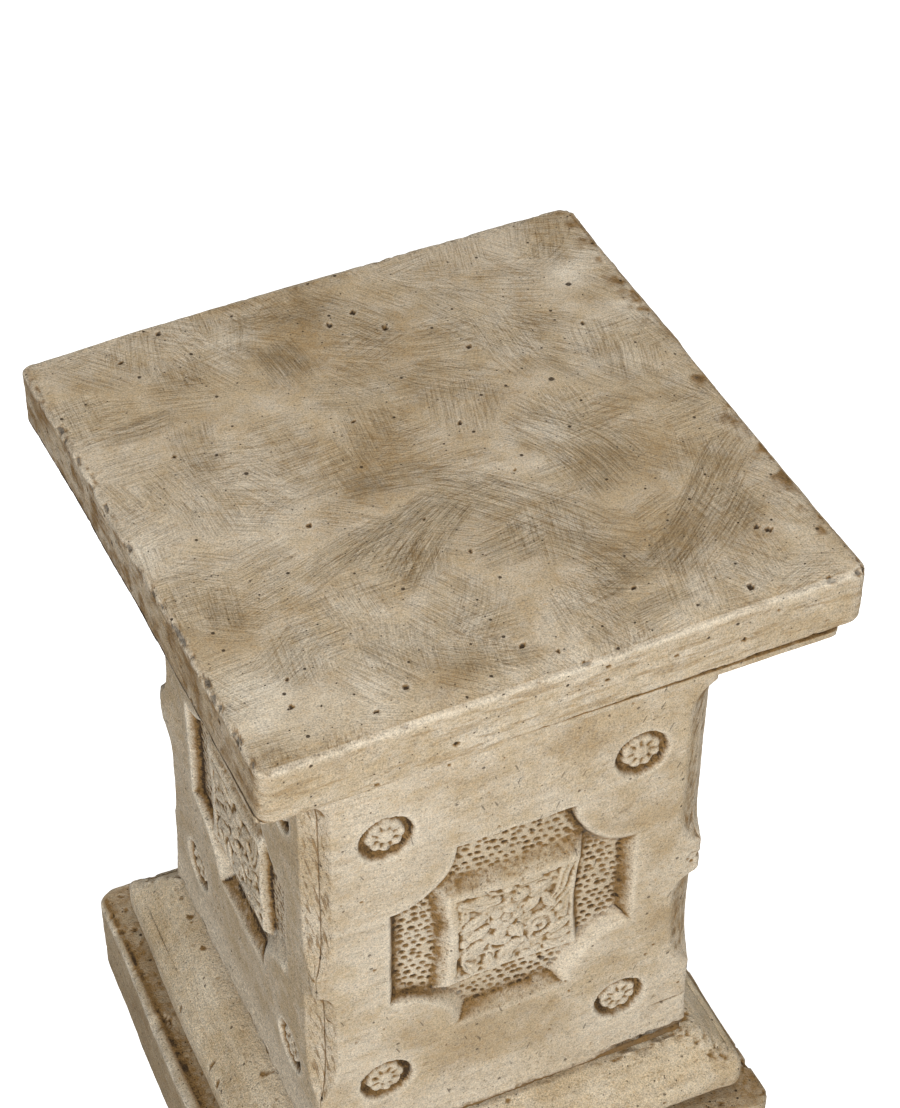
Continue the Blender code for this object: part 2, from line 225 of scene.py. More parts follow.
def spaced(start, end, step):
    """Even places from start (left out) to end, about a step apart."""
    count = max(1, round(abs(end - start) / step))
    return list(np.linspace(start, end, count + 1)[1:])


class Section:
    """A path of (half, z) rows down the outer side of a course: half is the distance from the axis."""

    def __init__(self, half, z):
        self.rows = [(half, z)]

    def level(self, half, step):
        z = self.rows[-1][1]
        self.rows += [(place, z) for place in spaced(self.rows[-1][0], half, step)]

    def upright(self, z, step):
        half = self.rows[-1][0]
        self.rows += [(half, place) for place in spaced(self.rows[-1][1], z, step)]

    def arc(self, centre, radii, start, end, steps):
        """An elliptical arc, angles in degrees, without its first point."""
        for i in range(1, steps + 1):
            angle = math.radians(start + (end - start) * i / steps)
            half = centre[0] + radii[0] * math.cos(angle)
            self.rows.append((half, centre[1] + radii[1] * math.sin(angle)))

    def turn(self, radii, start, end, steps):
        """An arc that goes on from the last row."""
        half, z = self.rows[-1]
        angle = math.radians(start)
        centre = (half - radii[0] * math.cos(angle), z - radii[1] * math.sin(angle))
        self.arc(centre, radii, start, end, steps)

    def array(self):
        return np.array(self.rows)


def section_normals(section):
    """Outward normals (out, up) of a section that runs down its outer side."""
    ahead = np.roll(section, -1, axis=0)
    behind = np.roll(section, 1, axis=0)
    ahead[-1] = section[-1]
    behind[0] = section[0]
    along = ahead - behind
    normals = np.stack([-along[:, 1], along[:, 0]], axis=1)
    return normals / np.maximum(np.linalg.norm(normals, axis=1, keepdims=True), 1e-12)


def path_lengths(section):
    steps = np.linalg.norm(np.diff(section, axis=0), axis=1)
    return np.concatenate([[0.0], np.cumsum(steps)])


def pit(points, centre, radius, depth, warp):
    """How deep a rounded pit goes at each point; warp makes its rim ragged."""
    away = np.linalg.norm(points - np.array(centre), axis=-1) * (1.0 + warp)
    return depth * np.clip(1.0 - (away / radius) ** 2, 0.0, 1.0) ** 0.7


# ---------------- carved shaft panels: the bare shape
# The stop chamfers of each corner: (leg, top, bottom, top run, bottom run) of the upper and the lower one
CORNER_CHAMFERS = {
    "front_left": ((14.0, 384.5, 253.5, 19, 26), (14.6, 238.5, 150.0, 17, 34)),
    "front_right": ((11.6, 380.5, 259.0, 20, 27), (12.6, 237.0, 158.0, 15, 42)),
    "back_right": ((13.6, 382.5, 256.0, 21, 22), (14.4, 235.0, 152.0, 19, 33)),
    "back_left": ((10.8, 371.0, 257.0, 14, 25), (9.8, 236.0, 155.0, 18, 35)),
}
# Each panel's left and right corner, and how steeply its face runs into the chamfer there
PANEL_CORNERS = {
    "front": (("front_left", 1.5), ("front_right", 0.6)),
    "right": (("front_right", 1.2), ("back_right", 1.1)),
    "back": (("back_right", 0.9), ("back_left", 1.2)),
    "left": (("back_left", 1.0), ("front_left", 0.9)),
}
# How brown the chamfers are at each panel's left and right end: stain, and painted shade on the corners
# turned from the key light
CHAMFER_STAIN_AND_SHADE = {"front": (0.04, 0.35), "right": (0.40, 0.30), "back": (0.25, 0.2), "left": (0.25, 0.04)}
# Rows of a panel nearer to the axis than this are its top, foot and inside, which stay plain
PLAIN_HALF = 100.0 * MM
# Columns nearer to the middle than this keep their place; those beyond follow the corner
STEADY_HALF = 85.0 * MM
# The swelling at the shaft's back left corner, and the pitted bridge between the two chamfers of each corner
KNOB_HEIGHT = 2.6 * MM
BRIDGE_AT = 246.5 * MM
# The crack near the right foot of the front panel
CRACK_AT = (96 * MM, 130.5 * MM)


def panel_section():
    """A panel's rows from its inner top edge, over the flange, down the cove and face, to its inner foot."""
    flange_bottom = SHAFT_TOP - FLANGE_HEIGHT
    cove_half = FLANGE_HALF - COVE_FILLET
    section = Section(PANEL_INNER_HALF, SHAFT_TOP)
    section.level(FLANGE_HALF - 6 * MM, 14 * MM)
    section.level(FLANGE_HALF - FLANGE_ARRIS, 1.2 * MM)
    section.turn((FLANGE_ARRIS,) * 2, 90, 0, 3)
    section.upright(flange_bottom + FLANGE_ARRIS, 0.8 * MM)
    section.turn((FLANGE_ARRIS,) * 2, 0, -90, 3)
    section.level(cove_half, 1.4 * MM)
    section.turn((cove_half - SHAFT_HALF, COVE_HEIGHT), 90, 180, 46)
    margin = 3 * MM
    field_top = FIELD_CENTRE[1] + FIELD_HALF_HEIGHT + margin
    field_bottom = FIELD_CENTRE[1] - FIELD_HALF_HEIGHT - margin
    heights = spaced(flange_bottom - COVE_HEIGHT, field_top, 1.05 * MM)
    heights += spaced(field_top, field_bottom, 0.85 * MM)
    heights += spaced(field_bottom, SHAFT_BOTTOM + 1.0 * MM, 1.05 * MM)
    for z in heights:
        flare = np.clip(1.0 - (z - SHAFT_BOTTOM) / FLARE_HEIGHT, 0.0, 1.0) ** 2
        section.rows.append((SHAFT_HALF + (SHAFT_FOOT_HALF - SHAFT_HALF) * flare, z))
    section.rows.append((SHAFT_FOOT_HALF - 0.3 * MM, SHAFT_BOTTOM + 0.3 * MM))
    section.rows.append((SHAFT_FOOT_HALF - 1.2 * MM, SHAFT_BOTTOM))
    section.level(PANEL_INNER_HALF, 7 * MM)
    return section.array()


def panel_columns():
    """Places across a panel from its middle, as if its face were everywhere SHAFT_HALF from the axis."""
    right = spaced(0.0, 73 * MM, 0.85 * MM) + spaced(73 * MM, 87 * MM, 1.1 * MM)
    right += spaced(87 * MM, SHAFT_HALF - 1.0 * MM, 0.9 * MM) + [SHAFT_HALF - 0.5 * MM, SHAFT_HALF]
    return np.array([-x for x in right[::-1]] + [0.0] + right)


def chamfer_leg(z, corner):
    """How far a corner is cut back along each face at height z."""
    leg = np.full_like(z, CORNER_ROUNDING_LEG)
    for full_leg, top, bottom, top_run, bottom_run in CORNER_CHAMFERS[corner]:
        from_top = np.clip((top * MM - z) / (top_run * MM), 0.0, 1.0)
        from_bottom = np.clip((z - bottom * MM) / (bottom_run * MM), 0.0, 1.0)
        scoop = np.sqrt(1.0 - (1.0 - from_top) ** 2) * np.sqrt(1.0 - (1.0 - from_bottom) ** 2)
        leg = np.maximum(leg, full_leg * MM * scoop)
    return leg


def bare_panel(side):
    """A side's uncarved panel, as arrays over its rows (down the section) and columns (across the face)."""
    index = SIDES.index(side)
    p = SimpleNamespace(side=side, seed=100 + 37 * index, section=panel_section(), columns=panel_columns())
    p.normals = section_normals(p.section)
    p.half = p.section[:, 0][:, None]
    p.height = p.section[:, 1][:, None] + 0.0 * p.columns[None, :]
    across = p.columns[None, :]
    sign = np.sign(across)
    (left_corner, left_slope), (right_corner, right_slope) = PANEL_CORNERS[side]
    leg_left = chamfer_leg(p.section[:, 1], left_corner)[:, None]
    leg_right = chamfer_leg(p.section[:, 1], right_corner)[:, None]
    leg = np.where(sign < 0, leg_left, leg_right)
    p.mitre = p.half - 0.5 * leg

    plain = p.half < PLAIN_HALF
    outer_share = (np.abs(across) - STEADY_HALF) / (SHAFT_HALF - STEADY_HALF)
    followed = STEADY_HALF + outer_share * (p.mitre - STEADY_HALF)
    moved = sign * np.where(outer_share < 0, np.abs(across), followed)
    p.x = np.where(plain, across / SHAFT_HALF * p.mitre, moved)
    cut = smoothstep(1.2 * CORNER_ROUNDING_LEG, 3.0 * CORNER_ROUNDING_LEG, leg)
    slope = 1.0 + cut * (np.where(sign < 0, left_slope, right_slope) - 1.0)
    rounding = 3.2 * MM - 2.3 * MM * cut
    surface = smooth_min(p.half + 0.0 * p.x, p.mitre + slope * (p.mitre - np.abs(p.x)), rounding)
    surface = np.where(plain, p.half + 0.0 * p.x, surface)

    p.flat = np.stack([p.x, -surface, p.height], axis=-1)
    p.turn = np.array(Matrix.Rotation(index * math.pi / 2, 3, "Z"))
    p.world = p.flat @ p.turn.T
    p.outer = p.half > PLAIN_HALF
    p.chamfer = smoothstep(p.half - 0.8 * MM, p.half - 2.2 * MM, surface) * (leg > 4 * MM)
    p.on_face = smoothstep(SHAFT_BOTTOM, SHAFT_BOTTOM + 3 * MM, p.height) * (p.half > SHAFT_HALF - 0.5 * MM)
    p.low_band = smoothstep(140 * MM, 118 * MM, p.height) * smoothstep(98 * MM, 106 * MM, p.half)
    p.edge = np.abs(np.abs(p.x) - np.abs(p.mitre)) < 0.25 * MM
    p.wobble = np.stack([fractal(p.world, 9 * MM, 2, p.seed + more) for more in (1, 2)]) * 0.9 * MM
    p.rough = fractal(p.world, 3.2 * MM, 2, p.seed + 4)
    return p


# ---------------- carved shaft panels: the carving
# How wide each sloping wall of the field is, and each flank of the block in it, in millimetres
WALL_RUNS = {"left": 4.6, "right": 9.0, "top": 3.2, "bottom": 13.0, "bite": 3.2, "low_right_bite": 8.0}
FLANK_RUNS = {"left": 7.5, "right": 4.0, "top": 12.0, "bottom": 5.0}
# How far in from each edge of the block its flat top starts, in millimetres
TOP_INSETS = {"left": 3.6, "right": 0.4, "top": 2.4, "bottom": 0.4}


def field_carving(x, z, ragged):
    """The bitten square with its block: depth, open floor, block top, and where dirt gathers."""
    fx = x - FIELD_CENTRE[0]
    fz = z - FIELD_CENTRE[1]
    left = (FIELD_HALF_WIDTH + fx) / (WALL_RUNS["left"] * MM)
    right = (FIELD_HALF_WIDTH - fx) / (WALL_RUNS["right"] * MM)
    top = (FIELD_HALF_HEIGHT - fz) / (WALL_RUNS["top"] * MM)
    bottom = (FIELD_HALF_HEIGHT + fz) / (WALL_RUNS["bottom"] * MM)
    inside = smooth_min(smooth_min(left, right, 0.05), smooth_min(top, bottom, 0.05), 0.12)
    low_right = smoothstep(-20 * MM, 40 * MM, fx - fz)
    bite_run = WALL_RUNS["bite"] * MM + WALL_RUNS["low_right_bite"] * MM * low_right
    bite = np.hypot(FIELD_HALF_WIDTH - np.abs(fx), FIELD_HALF_HEIGHT - np.abs(fz)) - FIELD_BITE_RADIUS
    inside = smooth_min(inside, bite / bite_run, 0.12)
    crisp = smoothstep(30 * MM, -10 * MM, fx - fz)
    straight = np.clip(inside, 0.0, 1.0)
    wall = straight * 0.4 * crisp + smoothstep(0.0, 1.0, straight) * (1.0 - 0.4 * crisp)

    bx = x - BLOCK_CENTRE[0]
    bz = z - BLOCK_CENTRE[1]
    half_width = BLOCK_HALF_WIDTH * (1.03 - 0.07 * np.clip(1.0 - (bz / BLOCK_HALF_HEIGHT) ** 2, 0.0, 1.0))
    half_height = BLOCK_HALF_HEIGHT * (1.03 - 0.07 * np.clip(1.0 - (bx / BLOCK_HALF_WIDTH) ** 2, 0.0, 1.0))
    beside = (np.abs(bx) - half_width) / np.where(bx < 0, FLANK_RUNS["left"] * MM, FLANK_RUNS["right"] * MM)
    above = (np.abs(bz) - half_height) / np.where(bz > 0, FLANK_RUNS["top"] * MM, FLANK_RUNS["bottom"] * MM)
    off_block = -smooth_min(-beside, -above, 0.12)
    slope = smoothstep(-0.12, 1.0, off_block) * 0.5 + 0.5 * np.clip(off_block, 0.0, 1.0)
    floor = smoothstep(0.82, 1.0, wall) * smoothstep(0.85, 1.1, off_block)

    from_left = bx + half_width - TOP_INSETS["left"] * MM
    from_right = half_width - bx - TOP_INSETS["right"] * MM
    from_top = half_height - bz - TOP_INSETS["top"] * MM
    from_bottom = half_height + bz - TOP_INSETS["bottom"] * MM
    inner = np.minimum(np.minimum(from_left, from_top), np.minimum(from_right, from_bottom))
    on_top = smoothstep(-0.4 * MM, 1.6 * MM, inner + 1.2 * MM * ragged)

    on_slope = smoothstep(0.0, 0.3, off_block) * smoothstep(1.15, 0.8, off_block) * (wall > 0.9)
    end_dirt = np.where(bz > 0, 0.42, 0.15)
    side_dirt = np.where(bx < 0, 0.40, 0.05)
    slope_dirt = on_slope * np.where(above > beside, end_dirt, side_dirt)
    on_wall = smoothstep(0.05, 0.35, inside) * smoothstep(1.25, 0.95, inside)
    straight_wall = np.minimum(right, bottom) < bite / bite_run
    wall_dirt = on_wall * np.where(straight_wall & (fx - fz > 0), 0.62, 0.66 * crisp)
    foot_dirt = smoothstep(2.8, 1.0, inside) * smoothstep(0.8, 1.0, inside) * 0.45
    # The pale places are the gentle lower-right walls of the bites, facing the key light; they are chalked
    # as painted light.
    return {
        "depth": FIELD_DEPTH * np.minimum(wall, slope), "floor": floor, "on_top": on_top,
        "dirt": np.clip(slope_dirt + wall_dirt + foot_dirt * (0.3 + crisp), 0.0, 1.0),
        "granular": on_slope, "pale": on_wall * low_right * (bite / bite_run <= np.minimum(right, bottom)),
    }


def punched_dots(x, z, seed):
    """Depth of the tool dots on the field's floor, set in wandering, staggered rows."""
    depth = np.zeros_like(x)
    row = np.floor(z / DOT_PITCH[1]).astype(np.int64)
    for dr in (-1, 0, 1):
        this_row = row + dr
        shift = 0.5 * (this_row % 2) + 0.25 * hashed(this_row, this_row * 0, this_row * 0, seed)
        column = np.floor(x / DOT_PITCH[0] - shift).astype(np.int64)
        for dc in (-1, 0, 1, 2):
            this_column = column + dc
            zero = this_column * 0
            jitter_x = 0.24 * hashed(this_column, this_row, zero, seed + 1)
            jitter_z = 0.26 * hashed(this_column, this_row, zero, seed + 2)
            cx = (this_column + shift + jitter_x) * DOT_PITCH[0]
            cz = (this_row + 0.5 + jitter_z) * DOT_PITCH[1]
            size = DOT_RADIUS * (1.0 + 0.26 * hashed(this_column, this_row, zero, seed + 3))
            strength = 0.85 + 0.3 * hashed(this_column, this_row, zero, seed + 4)
            away = np.hypot(x - cx + 0.30 * (z - cz), (z - cz) * 1.25) / size
            depth = np.maximum(depth, DOT_DEPTH * strength * np.clip(1.0 - away**2, 0.0, 1.0) ** 0.8)
    return depth


def leaf(x, z, base, angle, length, width, bend, height, lobes=0):
    """Height of one carved leaf: pointed, with a sunk midrib, curving by bend; lobes notch its edge."""
    turn = math.radians(angle)
    dx = x - base[0]
    dz = z - base[1]
    along = (dx * math.cos(turn) + dz * math.sin(turn)) / length
    across = -dx * math.sin(turn) + dz * math.cos(turn) - bend * along**2
    t = np.clip(along, 0.0, 1.0)
    outline = width * np.sin(math.pi * t**0.75) ** 0.8
    if lobes:
        outline = outline * (1.0 + 0.28 * np.cos(math.tau * lobes * t))
    outline = np.maximum(outline, 1e-6)
    inside = np.clip(1.0 - (across / outline) ** 2, 0.0, 1.0) * (along > 0.0) * (along < 1.0)
    rib = 0.30 * bell(across, 0.14 * width) * smoothstep(0.02, 0.2, inside)
    return height * (inside**0.58) * (1.0 - rib)


def stem(x, z, centre, radius, start, sweep, width, height):
    """Height of a rounded stem that follows a circular arc and thins towards its end."""
    dx = x - centre[0]
    dz = z - centre[1]
    angle = np.degrees(np.arctan2(dz, dx))
    turned = np.mod((angle - start) * np.sign(sweep), 360.0) / abs(sweep)
    thin = width * (1.15 - 0.6 * np.clip(turned, 0.0, 1.0))
    off = (np.hypot(dx, dz) - radius) / thin
    return height * np.sqrt(np.clip(1.0 - off**2, 0.0, 1.0)) * (turned <= 1.0)


def dome(away, radius, height):
    """Height of half an egg at a distance from its middle."""
    return height * np.sqrt(np.clip(1.0 - (away / radius) ** 2, 0.0, 1.0))


# Foliage on the raised block, in millimetres from its middle: (x, z, angle, length, half width, bend, lobes)
BLOCK_LEAVES = (
    (-6, 21, 172, 24, 5.4, -2.0, 2), (-15, 14, 213, 18, 4.8, 1.5, 0), (-13, 3, 214, 19, 4.4, -2.0, 0),
    (-10, -6, 210, 21, 4.6, 2.0, 2), (-21, -33, 105, 15, 4.4, 1.5, 0), (-12, -33, 100, 16, 4.2, -1.5, 0),
    (-1, -3, 296, 13, 4.6, 1.5, 0), (10, 14, 50, 16, 5.0, -2.0, 0), (20, -18, 12, 16, 4.2, 1.5, 0),
    (-7, -33, 46, 15, 4.2, 2.0, 0), (5, -34, 38, 15, 4.2, -1.5, 0), (28, -35, 126, 14, 4.2, 1.5, 0),
    (34, -22, 192, 14, 3.8, -1.5, 0), (8, -16, 204, 18, 4.4, 2.0, 2), (-31, 28, -40, 14, 4.0, 1.5, 0),
    (2, 30, -12, 15, 3.8, 1.5, 0), (-27, 12, 80, 13, 3.6, 1.5, 0), (24, 2, 128, 16, 4.2, -2.0, 0),
    (5, 5, 35, 14, 4.0, 1.5, 0), (-9, -11, 62, 13, 3.6, -1.5, 0), (-2, -14, 150, 13, 3.4, 1.5, 0),
)
# Curled stems on the block: (centre x, centre z, radius, start, sweep, half width)
BLOCK_STEMS = (
    (-8, 30, 39.5, 4, -58, 2.0), (-5, 28, 33.0, 8, -52, 1.8), (1, 27, 34.5, -12, -50, 1.7),
    (16, -10, 8.0, 160, -260, 2.0), (16, -10, 3.6, 100, 300, 1.8), (-20, 20, 10.0, 200, 130, 1.7),
    (-18, -18, 9.0, 60, 200, 1.8), (2, -24, 8.0, 190, -200, 1.7),
)
# Round buds on the block: (x, z, radius)
BLOCK_BUDS = (
    (5.0, 19.5, 5.2), (-3.0, 28.5, 3.4), (0.5, -8.5, 3.8), (-27.0, -5.0, 3.4), (27.0, -2.0, 3.2),
    (11.0, 10.5, 3.4),
)
LEAF_HEIGHT = 2.1 * MM
STEM_HEIGHT = 1.7 * MM
BUD_HEIGHT = 2.3 * MM
CURL_HEIGHT = 1.3 * MM
GROUND_DEPTH = 1.60 * MM
FOLIAGE_SHARE = 0.92
FLOWER_CENTRE = (-4.5 * MM, 6.5 * MM)
FLOWER_RADIUS = 10.5 * MM


def block_flower(x, z):
    """(height of the five-petalled flower, distance from its middle as a share of its reach)."""
    away = np.hypot(x - FLOWER_CENTRE[0], z - FLOWER_CENTRE[1])
    angle = np.arctan2(z - FLOWER_CENTRE[1], x - FLOWER_CENTRE[0])
    petal = np.abs(np.cos(2.5 * angle + 0.4))
    reach = FLOWER_RADIUS * (0.80 + 0.20 * petal)
    petals = 2.5 * MM * np.sqrt(np.clip(1.0 - (away / reach) ** 4, 0.0, 1.0))
    petals = petals * (0.62 + 0.38 * petal**0.7)
    ring = smoothstep(3.9 * MM, 3.0 * MM, away) * smoothstep(2.3 * MM, 2.9 * MM, away)
    return np.maximum(petals * (1.0 - 0.5 * ring), dome(away, 2.8 * MM, 2.7 * MM)), away / reach


def block_foliage(x, z, warp):
    """Height of the leaf scrolls and the flower on the block's top, over its sunk ground."""
    bx = x - BLOCK_CENTRE[0] + 1.8 * warp[0]
    bz = z - BLOCK_CENTRE[1] + 1.8 * warp[1]
    height = np.zeros_like(bx)
    for sx, sz, angle, length, width, bend, lobes in BLOCK_LEAVES:
        base = (sx * MM, sz * MM)
        shape = leaf(bx, bz, base, angle, length * MM, width * MM, bend * MM, LEAF_HEIGHT, lobes)
        height = np.maximum(height, shape)
    for sx, sz, radius, start, sweep, width in BLOCK_STEMS:
        shape = stem(bx, bz, (sx * MM, sz * MM), radius * MM, start, sweep, width * MM, STEM_HEIGHT)
        height = np.maximum(height, shape)
    for sx, sz, radius in BLOCK_BUDS:
        height = np.maximum(height, dome(np.hypot(bx - sx * MM, bz - sz * MM), radius * MM, BUD_HEIGHT))
    flower, share = block_flower(bx, bz)
    return np.maximum(height * smoothstep(0.75, 1.02, share), flower)


def block_relief(x, z, on_top, warp, curls):
    """Depth below the block's flat top: foliage on a sunk ground. curls fills in between the leaves."""
    filling = CURL_HEIGHT * np.clip(1.0 - 3.0 * np.abs(curls), 0.0, 1.0)
    return on_top * (GROUND_DEPTH - FOLIAGE_SHARE * np.maximum(block_foliage(x, z, warp), filling))


# Where each panel's flower wells sit, in millimetres: the upper left first, the lower right last
PANEL_WELLS = {
    "front": ((-69.5, 345.0), (69.0, 344.0), (-71.0, 150.5), (66.3, 148.5)),
    "right": ((-68.0, 345.0), (69.0, 344.0), (-69.0, 151.0), (68.0, 152.0)),
    "back": ((-69.0, 344.0), (68.0, 346.0), (-67.0, 150.0), (70.0, 151.0)),
    "left": ((-70.0, 345.0), (68.0, 346.0), (-69.0, 150.0), (69.0, 152.0)),
}


def flower_well(x, z, centre, turn, rough):
    """(depth, dirt) of a round well with a worn flower in it; rough, about -1 to 1, breaks up the petals."""
    dx = x - centre[0]
    dz = z - centre[1]
    away = np.hypot(dx, dz)
    angle = np.arctan2(dz, dx)
    low = 0.5 + 0.5 * np.cos(angle + 1.3)
    wall_run = (2.0 + 1.6 * low) * MM
    reach_out = WELL_RADIUS + 0.8 * MM * low + 0.5 * MM * rough
    well = np.clip((reach_out - away) / wall_run, 0.0, 1.0)
    well = WELL_DEPTH * (0.5 * well + 0.5 * smoothstep(0.0, 1.0, well))
    lobe = 0.5 + 0.5 * np.cos(8.0 * (angle + turn) + 1.1 * rough)
    outline = BOSS_RADIUS * (1.00 + 0.06 * lobe) + 0.7 * MM * rough
    off_boss = smoothstep(-1.5 * MM, 0.8 * MM, away - outline)
    gap = (1.0 - lobe) ** 2.2 * smoothstep(3.0 * MM, 5.4 * MM, away)
    bowl = 0.7 * MM * smoothstep(BOSS_RADIUS - 1.0 * MM, 3.0 * MM, away)
    boss = BOSS_TOP_DEPTH + bowl + 0.75 * MM * gap - dome(away, 4.4 * MM, 1.1 * MM) + 0.75 * MM * rough
    inside = away < WELL_RADIUS
    depth = well * off_boss + np.where(inside, boss * (1.0 - off_boss), 0.0)
    ring = off_boss * smoothstep(reach_out, reach_out - 1.2 * MM, away)
    dirt = ring * (0.42 + 0.28 * low + 0.25 * rough) + (0.10 + 0.30 * gap) * (1.0 - off_boss) * inside
    return depth, dirt


def carve(p):
    """Adds a panel's carving: its depth, open floor, dirt, granular places, and pale walls that get painted
    light.
    """
    wx = p.x + 0.5 * p.wobble[0]
    wz = p.height + 0.5 * p.wobble[1]
    field = field_carving(wx, wz, p.rough)
    p.floor = field["floor"]
    dots = p.floor * punched_dots(p.x, p.height, p.seed + 3)
    curls = fractal(p.world, 7.5 * MM, 2, p.seed + 9)
    foliage = block_relief(p.x, p.height, field["on_top"], p.wobble, curls)
    depth = field["depth"] + dots + foliage
    p.carved_dirt = field["dirt"] + 0.6 * dots / DOT_DEPTH + 0.18 * smoothstep(0.6 * MM, 1.5 * MM, foliage)
    for number, (cx, cz) in enumerate(PANEL_WELLS[p.side]):
        well, well_dirt = flower_well(wx, wz, (cx * MM, cz * MM), 0.35 * number, p.rough)
        depth = depth + well
        p.carved_dirt = p.carved_dirt + well_dirt
    p.carved = p.on_face * depth
    p.granular = field["granular"]
    p.pale = field["pale"]


# ---------------- carved shaft panels: marks, wear and dirt
def panel_pits(p):
    """Depth of the scattered small pits in a panel."""
    random = np.random.default_rng(p.seed + 6)
    places = random.uniform((-105 * MM, 0.11, 0.6 * MM), (105 * MM, 0.385, 1.2 * MM), (34, 3))
    over = np.stack([p.x, p.height], axis=-1)
    pits = np.zeros_like(p.x)
    for cx, cz, size in places:
        pits = np.maximum(pits, pit(over, (cx, cz), size, 0.8 * size, 0.0))
    return pits


def panel_relief(p):
    """How proud each point of a carved panel is; also notes where its foot is torn open."""
    walls = smoothstep(0.3 * MM, 1.5 * MM, p.carved) * (1.0 - p.floor)
    waves = uneven(p.world, (0.55, 60, 2, p.seed + 5), (0.20, 14, 2, 7))
    grain = uneven(p.world, (0.10, 3.2, 2, 9)) + 0.13 * MM * p.rough * walls
    combed = uneven(stretched_along(p.world, 0.2), (0.22, 1.9, 2, p.seed + 10)) * (0.35 + p.low_band)
    combed = combed + uneven(p.world, (0.20, 1.9, 1, p.seed + 12)) * (p.low_band + p.granular)
    rasp = uneven(p.world * np.array([1.0, 1.0, 0.4]), (0.26, 2.2, 2, 11)) * p.chamfer
    bridge = bell(p.height - BRIDGE_AT, 8 * MM) * smoothstep(96 * MM, 104 * MM, np.abs(p.x))
    pitted = bridge * np.clip(fractal(p.world, 4.5 * MM, 2, 13), 0, 1) * 2.2 * MM

    foot_chips = np.clip(fractal(p.world, 7 * MM, 2, p.seed + 8), 0, 1) * 1.6 * MM
    foot_chips = foot_chips * smoothstep(SHAFT_BOTTOM + 6 * MM, SHAFT_BOTTOM, p.height) * p.outer
    gape = foot_opening(p.world[..., 0], p.world[..., 1]) * p.outer
    torn_height = p.height + 1.6 * MM * p.rough
    p.torn = smoothstep(SHAFT_BOTTOM + 6.5 * MM, SHAFT_BOTTOM + 4.5 * MM, torn_height) * gape
    foot_chips = foot_chips + p.torn * (2.6 * MM + 0.8 * MM * p.rough)

    crack_line = p.height - CRACK_AT[1] - 0.6 * p.wobble[0] - 0.04 * (p.x - CRACK_AT[0])
    crack = 1.0 * MM * bell(crack_line, 0.75 * MM) * smoothstep(80 * MM, 92 * MM, p.x) * (p.side == "front")
    groove = 0.22 * MM * p.edge * p.outer
    proud = waves + grain + combed + rasp - p.carved - pitted - panel_pits(p) - foot_chips - groove - crack
    knob = bell(p.height - 246 * MM, 18 * MM) * smoothstep(76 * MM, 100 * MM, np.abs(p.x))
    at_back_left = ((p.side == "left") & (p.x < 0)) | ((p.side == "back") & (p.x > 0))
    return np.where(p.outer, proud + KNOB_HEIGHT * knob * at_back_left, 0.0)


def scoop_end_painted_shade(p):
    """The upper ends of the chamfers, where the top of each scoop gets painted shade."""
    shaded = np.zeros_like(p.x)
    for number, (corner, _) in enumerate(PANEL_CORNERS[p.side]):
        for _, top, _, top_run, _ in CORNER_CHAMFERS[corner]:
            shade = smoothstep((top - 0.9 * top_run) * MM, (top - 0.15 * top_run) * MM, p.height)
            shade = shade * (p.height < top * MM) * (p.x < 0 if number == 0 else p.x > 0)
            shaded = np.maximum(shaded, shade)
    return shaded * p.chamfer


def panel_attributes(p, proud):
    """The mesh attributes of a panel, for its material."""
    dirt, wear = relief_layers(proud, path_lengths(p.section), p.columns)
    # Chamfer browning: stain, and painted shade on the corners turned from the key light.
    stain = np.where(p.x < 0, *CHAMFER_STAIN_AND_SHADE[p.side]) * p.chamfer
    patchy = np.clip(0.62 + 0.7 * fractal(p.world, 13 * MM, 3, p.seed + 14), 0.15, 1.1)
    faint = 0.5 + 0.5 * fractal(p.world, 30 * MM, 2, p.seed + 13)
    dirt = dirt + p.on_face * patchy * (0.14 * p.floor + p.carved_dirt)
    # Painted shade at the top of each chamfer scoop.
    dirt = dirt + 0.5 * faint * p.edge * p.outer + 0.55 * p.torn + stain * patchy + 0.45 * scoop_end_painted_shade(p)
    # Painted shade: each panel's foot and the top of its flange are darkened for the shade in the joint
    # below and in the seam under the slab.
    dirt = dirt + 0.75 * smoothstep(SHAFT_BOTTOM + 3 * MM, SHAFT_BOTTOM, p.height) * p.outer
    dirt = dirt + 0.9 * smoothstep(SHAFT_TOP - 1.5 * MM, SHAFT_TOP - 0.6 * MM, p.height) * p.outer
    # The pale walls facing the key light are chalked as painted light; the low band is rubbed wear.
    wear = wear + 0.55 * p.low_band * p.outer + 0.7 * p.on_face * p.pale
    granular = 0.35 * p.low_band * p.outer + p.granular + 0.8 * (p.carved_dirt > 0.3)
    layers = {"dirt": dirt, "wear": wear, "rasped": p.chamfer, "granular": granular}
    return {name: np.clip(values, 0.0, 1.0).ravel() for name, values in layers.items()}


def panel_piece(side):
    """One carved panel, turned to its side, with its dirt and wear and its painted shade and painted light.
    """
    p = bare_panel(side)
    carve(p)
    proud = panel_relief(p)
    out = p.flat.copy()
    out[..., 1] -= proud * p.normals[:, 0][:, None]
    out[..., 2] += proud * p.normals[:, 1][:, None]
    limit = np.abs(out[..., 1]) - 0.12 * MM
    out[..., 0] = np.clip(out[..., 0], -limit, limit)
    out[:, 0, 0] = -limit[:, 0]
    out[:, -1, 0] = limit[:, -1]
    out[..., 2] = np.clip(out[..., 2], SHAFT_BOTTOM, SHAFT_TOP)

    numbers = np.arange(p.x.size).reshape(p.x.shape)
    faces = grid_faces(numbers, closed=False)
    faces.append(numbers[::-1, 0].tolist())
    faces.append(numbers[:, -1].tolist())
    faces.append(numbers[0].tolist() + numbers[-1, ::-1].tolist())
    points = out.reshape(-1, 3) @ p.turn.T
    piece = make_mesh(f"carved_panel_{side}", points, faces, panel_attributes(p, proud))
    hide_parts(f"shaft_panel_{side}")
    return piece


